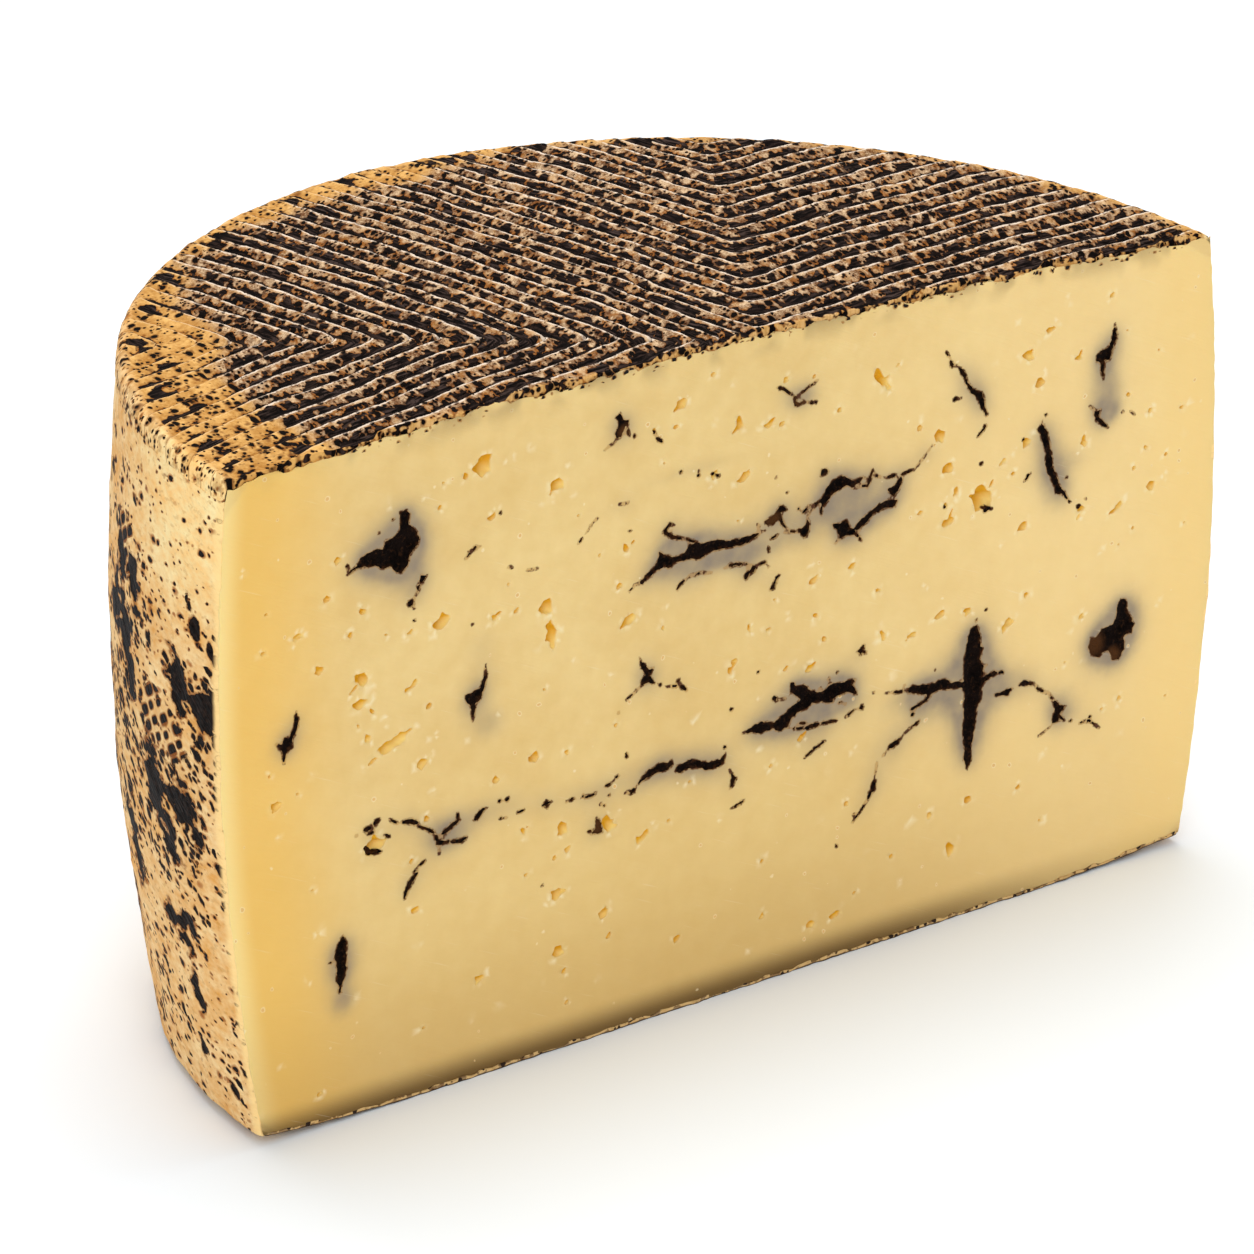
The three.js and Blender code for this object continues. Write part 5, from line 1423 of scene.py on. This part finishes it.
def sample(field, x, z):
    """Values of a field between its grid's places."""
    column = np.clip((x + FIELD_REACH) / FIELD_STEP, 0, len(field_x) - 1.001)
    row = np.clip(z / FIELD_STEP, 0, len(field_z) - 1.001)
    i, j = column.astype(int), row.astype(int)
    right, up = column - i, row - j
    low = field[j, i] * (1 - right) + field[j, i + 1] * right
    return low * (1 - up) + (field[j + 1, i] * (1 - right) + field[j + 1, i + 1] * right) * up


def paste_top(x):
    return top_height(x) - cut_skin(x) + 0.12


# The outline of the cut face: up the right side, back along the top and down the left.
side_levels = np.linspace(BASE_SKIN + 1.3, 103.2, 130)
side_x = side_radius(side_levels) - SIDE_SKIN + 0.12
side_x = side_x + 0.1 * noise(side_levels, 0, 1.5, 67)
top_line = np.linspace(INNER_RIM + 0.9, -INNER_RIM - 0.9, 380)
base_line = np.linspace(-float(side_x[0]) + 1, float(side_x[0]) - 1, 300)
base_line_z = base_lift(np.abs(base_line)) + BASE_SKIN - 0.25 + 0.12 * noise(base_line, 7, 1.4, 68)
outline = np.concatenate([
    pairs(side_x, side_levels), pairs(top_line, paste_top(top_line)),
    pairs(-side_x[::-1], side_levels[::-1]), pairs(base_line, base_line_z)])
WALL_STEP = 0.16
rim_points, rim_edges = contour(hole_field, 0.0)
wall_points, wall_edges = contour(hole_field, -WALL_STEP)


def kept_grid(step, low, high, jitter, seed):
    """Grid places whose distance to the nearest hole's edge lies between two values."""
    draw = np.random.default_rng(seed)
    x, z = grid_places(np.arange(-95, 95, step), np.arange(1, 108, step))
    x, z = x + draw.uniform(-jitter, jitter, x.shape), z + draw.uniform(-jitter, jitter, z.shape)
    level = sample(hole_field, x, z)
    clear = (z > base_lift(np.abs(x)) + BASE_SKIN + 0.35) & (np.abs(x) < side_radius(z) - SIDE_SKIN - 0.5)
    clear &= z < top_height(x) - 2.2
    clear &= (level > low) & (level < high)
    return pairs(x[clear], z[clear])


cut_flat, cut_faces = triangulate(*gather([
    (outline, ring_edges(len(outline))), (rim_points, rim_edges), (wall_points, wall_edges),
    (kept_grid(1.5, 0.6, 99, 0.3, 69), []), (kept_grid(0.7, 0.2, 1.6, 0.1, 70), []),
    (kept_grid(0.5, -9, -WALL_STEP - 0.14, 0.05, 72), [])]))
eye = -sample(eye_field, cut_flat[:, 0], cut_flat[:, 1])
vein = -sample(vein_field, cut_flat[:, 0], cut_flat[:, 1])
eye_depth = 0.9 * np.clip(eye, 0, None) + 0.4 * smooth_share(eye, 0, 0.3)
vein_depth = CHANNEL_DEPTH * smooth_share(vein, 0, 0.22)
cut_depth = np.maximum(eye_depth, vein_depth)
cut_wave = layered_noise(*cut_flat.T, (0.12, 17, 73), (0.04, 3, 74))
cut_places = np.stack([cut_flat[:, 0], cut_depth + cut_wave, cut_flat[:, 1]], -1)

# The back of the paste is a plain lathed skin just inside the rind.
cut_border = border_loop(cut_faces)
loop_places = cut_places[cut_border]
order = np.argmin(np.hypot(loop_places[:, 0] - side_x[0], loop_places[:, 2] - side_levels[0]))
cut_border = np.roll(cut_border, -order)
if cut_places[cut_border[5], 2] < cut_places[cut_border[0], 2]:
    cut_border = np.roll(cut_border[::-1], 1)
back_flat = cut_places[cut_border][:, [0, 2]]
back_grid = [(x, z) for x in np.arange(-88, 89, 8.0) for z in np.arange(8, 98, 8.0)]
back_points, back_edges = gather([(back_flat, ring_edges(len(back_flat))), (np.array(back_grid), [])])
back_flat, back_faces = triangulate(back_points, back_edges)


def paste_back(flat):
    """The plain back of the paste over a place of the cut: just inside the rind."""
    x, z = flat[:, 0], flat[:, 1]
    reach = side_radius(z) - SIDE_SKIN - 0.6
    depth = np.sqrt(np.clip(reach ** 2 - x ** 2, 0, None))
    return np.stack([x, depth, z], -1)


back_places = paste_back(back_flat)
border_count = len(cut_border)
back_places[:border_count] = cut_places[cut_border]
inner_count = len(back_places) - border_count
renumber = np.concatenate([cut_border, np.arange(inner_count) + len(cut_places)])
paste_places = np.concatenate([cut_places, back_places[border_count:]])
paste_faces = np.concatenate([cut_faces, renumber[back_faces]])

# The grey round the truffle: its colour spreads through the paste and fades out.
GREY_SPREADS = [(1.3, 0.6), (2.4, 1.0), (5.0, 0.9)]
across_rate, up_rate = np.meshgrid(np.fft.fftfreq(len(field_x), FIELD_STEP),
                                   np.fft.fftfreq(len(field_z), FIELD_STEP))
vein_waves = np.fft.fft2((vein_field < 0).astype(float))
halo_field = np.zeros(grid_x.shape)
for reach, strength in GREY_SPREADS:
    spread = np.exp(-2 * (math.pi * reach) ** 2 * (across_rate ** 2 + up_rate ** 2))
    halo_field = halo_field + strength * np.real(np.fft.ifft2(vein_waves * spread))
for x, z, width, tall, strength in VEILS:
    off = ((grid_x - x) / width) ** 2 + ((grid_z - z) / tall) ** 2
    halo_field = halo_field + 0.45 * strength * np.exp(-2.2 * off)

paste_paint, tree, shader = new_material("paste_curd", Roughness=0.45, Specular_IOR_Level=0.12)
places = millimetres(tree)
place_x, _, place_z = put(tree, "ShaderNodeSeparateXYZ", {0: places}).outputs
left = value_of(tree, "left")
right = value_of(tree, "right")
halo = value_of(tree, "halo")
hollow = value_of(tree, "hollow")
lip = value_of(tree, "lip")
brink = value_of(tree, "brink")
fringe = value_of(tree, "fringe")
tone = use_group(tree, mottle, {"Vector": places, "Size": 22.0, "Contrast": 1.2})[0]
body = blend(tree, tone, "E0BD79", "EBCD8C")
body = tint(tree, body, "DDB970", fade(tree, place_z, 66.0, 12.0), 0.35)
body = tint(tree, body, "ECBB5A", fade(tree, left, 0.0, 0.8), 0.75)
body = tint(tree, body, "F2C564", fade(tree, right, 0.0, 0.8), 0.5)
body = tint(tree, body, "FADF97", fade(tree, left, 0.82, 1.0), 0.75)
body = tint(tree, body, "FBDA98", fade(tree, place_x, 0.0, 70.0), 0.5)
# Painted shade along the bottom of the cut: a broad band up to 30 mm and a dark band at the foot, both
# fading out towards the right end.
centre = scaled(tree, fade(tree, place_x, 80.0, 20.0), 0.85, 0.15)
painted_low_shade = times(tree, fade(tree, place_z, 30.0, 4.0), times(tree, centre, 0.34))
body = tint(tree, body, "BE9654", painted_low_shade)
painted_foot_shade = times(tree, fade(tree, place_z, 6.0, 0.6), times(tree, centre, 0.95))
body = tint(tree, body, "6B5029", painted_foot_shade)
grey_noise = cloud(tree, places, 3.0, 2.0)
grey_share = times(tree, fade(tree, halo, 0.0, 0.62), scaled(tree, grey_noise, 0.5, 0.6))
body = tint(tree, body, "8A7C6C", grey_share)
flaws = use_group(tree, specks, {"Vector": places, "Spacing": 3.4, "Radius": 0.22, "Share": 0.3})
body = tint(tree, body, "F8E8BE", flaws[1], 0.5)
body = tint(tree, body, "D79A38", flaws[0], 0.6)
on_cut = put(tree, "ShaderNodeCombineXYZ", {0: place_x, 1: place_z}).outputs[0]
scratches = cloud(tree, stretch(tree, on_cut, (0.09, 2.4, 1.0), 0.45), 1.0, 2.0, 0.6)
body = tint(tree, body, "FBF2D6", fade(tree, scratches, 0.66, 0.76), 0.12)
# A pale ring round each eye, away from the truffle, is a painted highlight on its lip.
body = tint(tree, body, "FBEFC9", lip, 0.6)
# Each eye's hollow is painted golden in place of the light scattered inside it: deeper towards its roof as
# painted shade, and paler towards its foot as painted light.
golden = blend(tree, fade(tree, value_of(tree, "rise"), -0.5, 0.12), "F0CF78", "DC9E00")
body = blend(tree, times(tree, fade(tree, hollow, 0.0, 0.5), 0.95), body, golden)
stain_and_shadow = times(tree, fade(tree, brink, 0.5, 0.95), fade(tree, cloud(tree, places, 0.8, 3.0), 0.44, 0.6))
body = tint(tree, body, "A8742C", fade(tree, brink, 0.55, 0.9), 0.45)
body = tint(tree, body, "4E2A12", stain_and_shadow)
# Under the rind the cut is a little shaded, and crumbs of dark rind stick to it.
shade = times(tree, fringe, fade(tree, cloud(tree, places, 7.0, 2.0), 0.42, 0.62))
body = tint(tree, body, "9A8055", shade, 0.6)
lumps = use_group(tree, specks, {"Vector": places, "Spacing": 1.0, "Radius": 0.34,
                                 "Share": times(tree, fade(tree, fringe, 0.6, 1.0), 0.6)})
body = tint(tree, body, "9A6226", lumps[1], 0.85)
body = tint(tree, body, "0C0603", lumps[0])
tree.links.new(body, shader.inputs["Base Color"])
bumps = scaled(tree, scratches, 0.6, times(tree, cloud(tree, places, 1.6, 3.0), 0.6))
bumps = scaled(tree, flaws[0], -0.6, bumps)
add_bump(tree, shader, bumps, 0.35, 0.0002)
shader.inputs["Subsurface Weight"].default_value = 0.12
shader.inputs["Subsurface Radius"].default_value = (0.004, 0.0025, 0.001)
shader.inputs["Subsurface Scale"].default_value = 0.6

paste = make_piece("paste", paste_places, paste_faces, paste_paint, sharp_angle=60.0)
cut_x, cut_z = cut_flat[:, 0], cut_flat[:, 1]
LEFT_GLOW = 26.0
RIGHT_GLOW = 20.0
FRINGE_DEPTH = 3.2
edge_gap = side_radius(cut_z) - np.abs(cut_x)
top_gap = top_height(cut_x) - 1.0 - cut_z
printed = 1 - plainness(cut_x, np.zeros_like(cut_x))
cut_values = {
    "left": np.where(cut_x < 0, 1 - np.clip(edge_gap / LEFT_GLOW, 0, 1), 0),
    "right": np.where(cut_x > 0, 1 - np.clip(edge_gap / RIGHT_GLOW, 0, 1), 0),
    "halo": sample(halo_field, cut_x, cut_z),
    # hollow and rise carry each eye's painted shading, and lip the painted highlight round its rim.
    "hollow": np.where(eye > vein, np.clip(eye / 0.3, 0, 1), 0),
    "lip": (1 - np.clip(np.abs(-eye - 0.18) / 0.2, 0, 1)) * (vein < -0.4),
    "rise": sample(eye_rise, cut_x, cut_z),
    "brink": 1 - np.clip(-vein / 0.55, 0, 1),
    "fringe": (1 - np.clip(top_gap / FRINGE_DEPTH, 0, 1)) * (0.25 + 0.75 * printed),
}
for name, values in cut_values.items():
    add_values(paste, name, np.append(values, np.zeros(inner_count)))

# ------------------------------------------------------------------------------------------
# Truffle: dark minced truffle pressed into the curd's cracks. It fills the channels and lies
# a little below the cut, with a rough broken surface.
# ------------------------------------------------------------------------------------------
FILL_FLOOR = 2.1
FILL_STEP = 0.42
fill_points, fill_edges = contour(vein_field, 0.05)
draw = np.random.default_rng(75)
x, z = grid_places(np.arange(-95, 95, FILL_STEP), np.arange(1, 108, FILL_STEP))
level = sample(vein_field, x, z)
inside = level < -0.12
fill_flat, fill_faces = triangulate(*gather([
    (fill_points, fill_edges), (pairs(x[inside], z[inside]), [])]))
middle = fill_flat[fill_faces].mean(1)
fill_faces = fill_faces[sample(vein_field, middle[:, 0], middle[:, 1]) < 0.05]
used, fill_faces = np.unique(fill_faces, return_inverse=True)
fill_faces = fill_faces.reshape(-1, 3)
fill_flat = fill_flat[used]
within = np.clip(-sample(vein_field, fill_flat[:, 0], fill_flat[:, 1]), 0, 1.6)
rough = layered_noise(*fill_flat.T, (0.2, 0.9, 76), (0.14, 0.45, 77))
fill_depth = 0.12 + 0.3 * within + (0.25 + 0.75 * smooth_share(within, 0, 0.8)) * rough
fill_depth = np.maximum(fill_depth, 0.05)
front = np.stack([fill_flat[:, 0], fill_depth, fill_flat[:, 1]], -1)
back = np.stack([fill_flat[:, 0], np.full(len(fill_flat), FILL_FLOOR), fill_flat[:, 1]], -1)
rim_sides = border_sides(fill_faces)
fill_count = len(front)
walls = np.concatenate([
    np.stack([rim_sides[:, 0], rim_sides[:, 1], rim_sides[:, 1] + fill_count], -1),
    np.stack([rim_sides[:, 0], rim_sides[:, 1] + fill_count, rim_sides[:, 0] + fill_count], -1)])
truffle_paint, tree, shader = new_material("truffle_mince", Roughness=0.7, Specular_IOR_Level=0.03)
places = millimetres(tree)
tone = use_group(tree, mottle, {"Vector": places, "Size": 2.4, "Contrast": 1.8})[0]
body = blend(tree, tone, "060302", "190F0B")
crumb = fade(tree, cloud(tree, places, 0.8, 4.0, 0.65), 0.57, 0.66)
body = tint(tree, body, "3A2414", crumb, 0.6)
thin = times(tree, value_of(tree, "thin"), fade(tree, cloud(tree, places, 0.7, 2.0), 0.42, 0.58))
body = tint(tree, body, "4A2A12", thin, 0.7)
brown = fade(tree, value_of(tree, "brown"), 0.3, 0.8)
body = tint(tree, body, "5E3A1E", brown, 0.7)
tree.links.new(body, shader.inputs["Base Color"])
add_bump(tree, shader, cloud(tree, places, 0.5, 4.0, 0.7), 0.9, 0.0005)
truffle_faces = np.concatenate([fill_faces, fill_faces[:, ::-1] + fill_count, walls])
truffle = make_piece("truffle_veins", np.concatenate([front, back]), truffle_faces, truffle_paint,
                     sharp_angle=40.0)
# The right lump is brown where it is thin: at its left arm and its foot. So are the small hubs.
BROWN_PLACES = [
    (71, 39.5, 4.2), (74.8, 36.6, 3), (6.4, 76.6, 3.2), (-27, 35, 3), (-21.4, 97.6, 2.4), (12, 94.6, 3),
]
brown = np.zeros(len(fill_flat))
for x, z, reach in BROWN_PLACES:
    gap = np.hypot(fill_flat[:, 0] - x, fill_flat[:, 1] - z) / reach
    brown = np.maximum(brown, 1 - np.clip(gap, 0, 1))
add_values(truffle, "brown", np.tile(brown, 2))
add_values(truffle, "thin", np.tile(1 - smooth_share(within, 0.0, 0.4), 2))
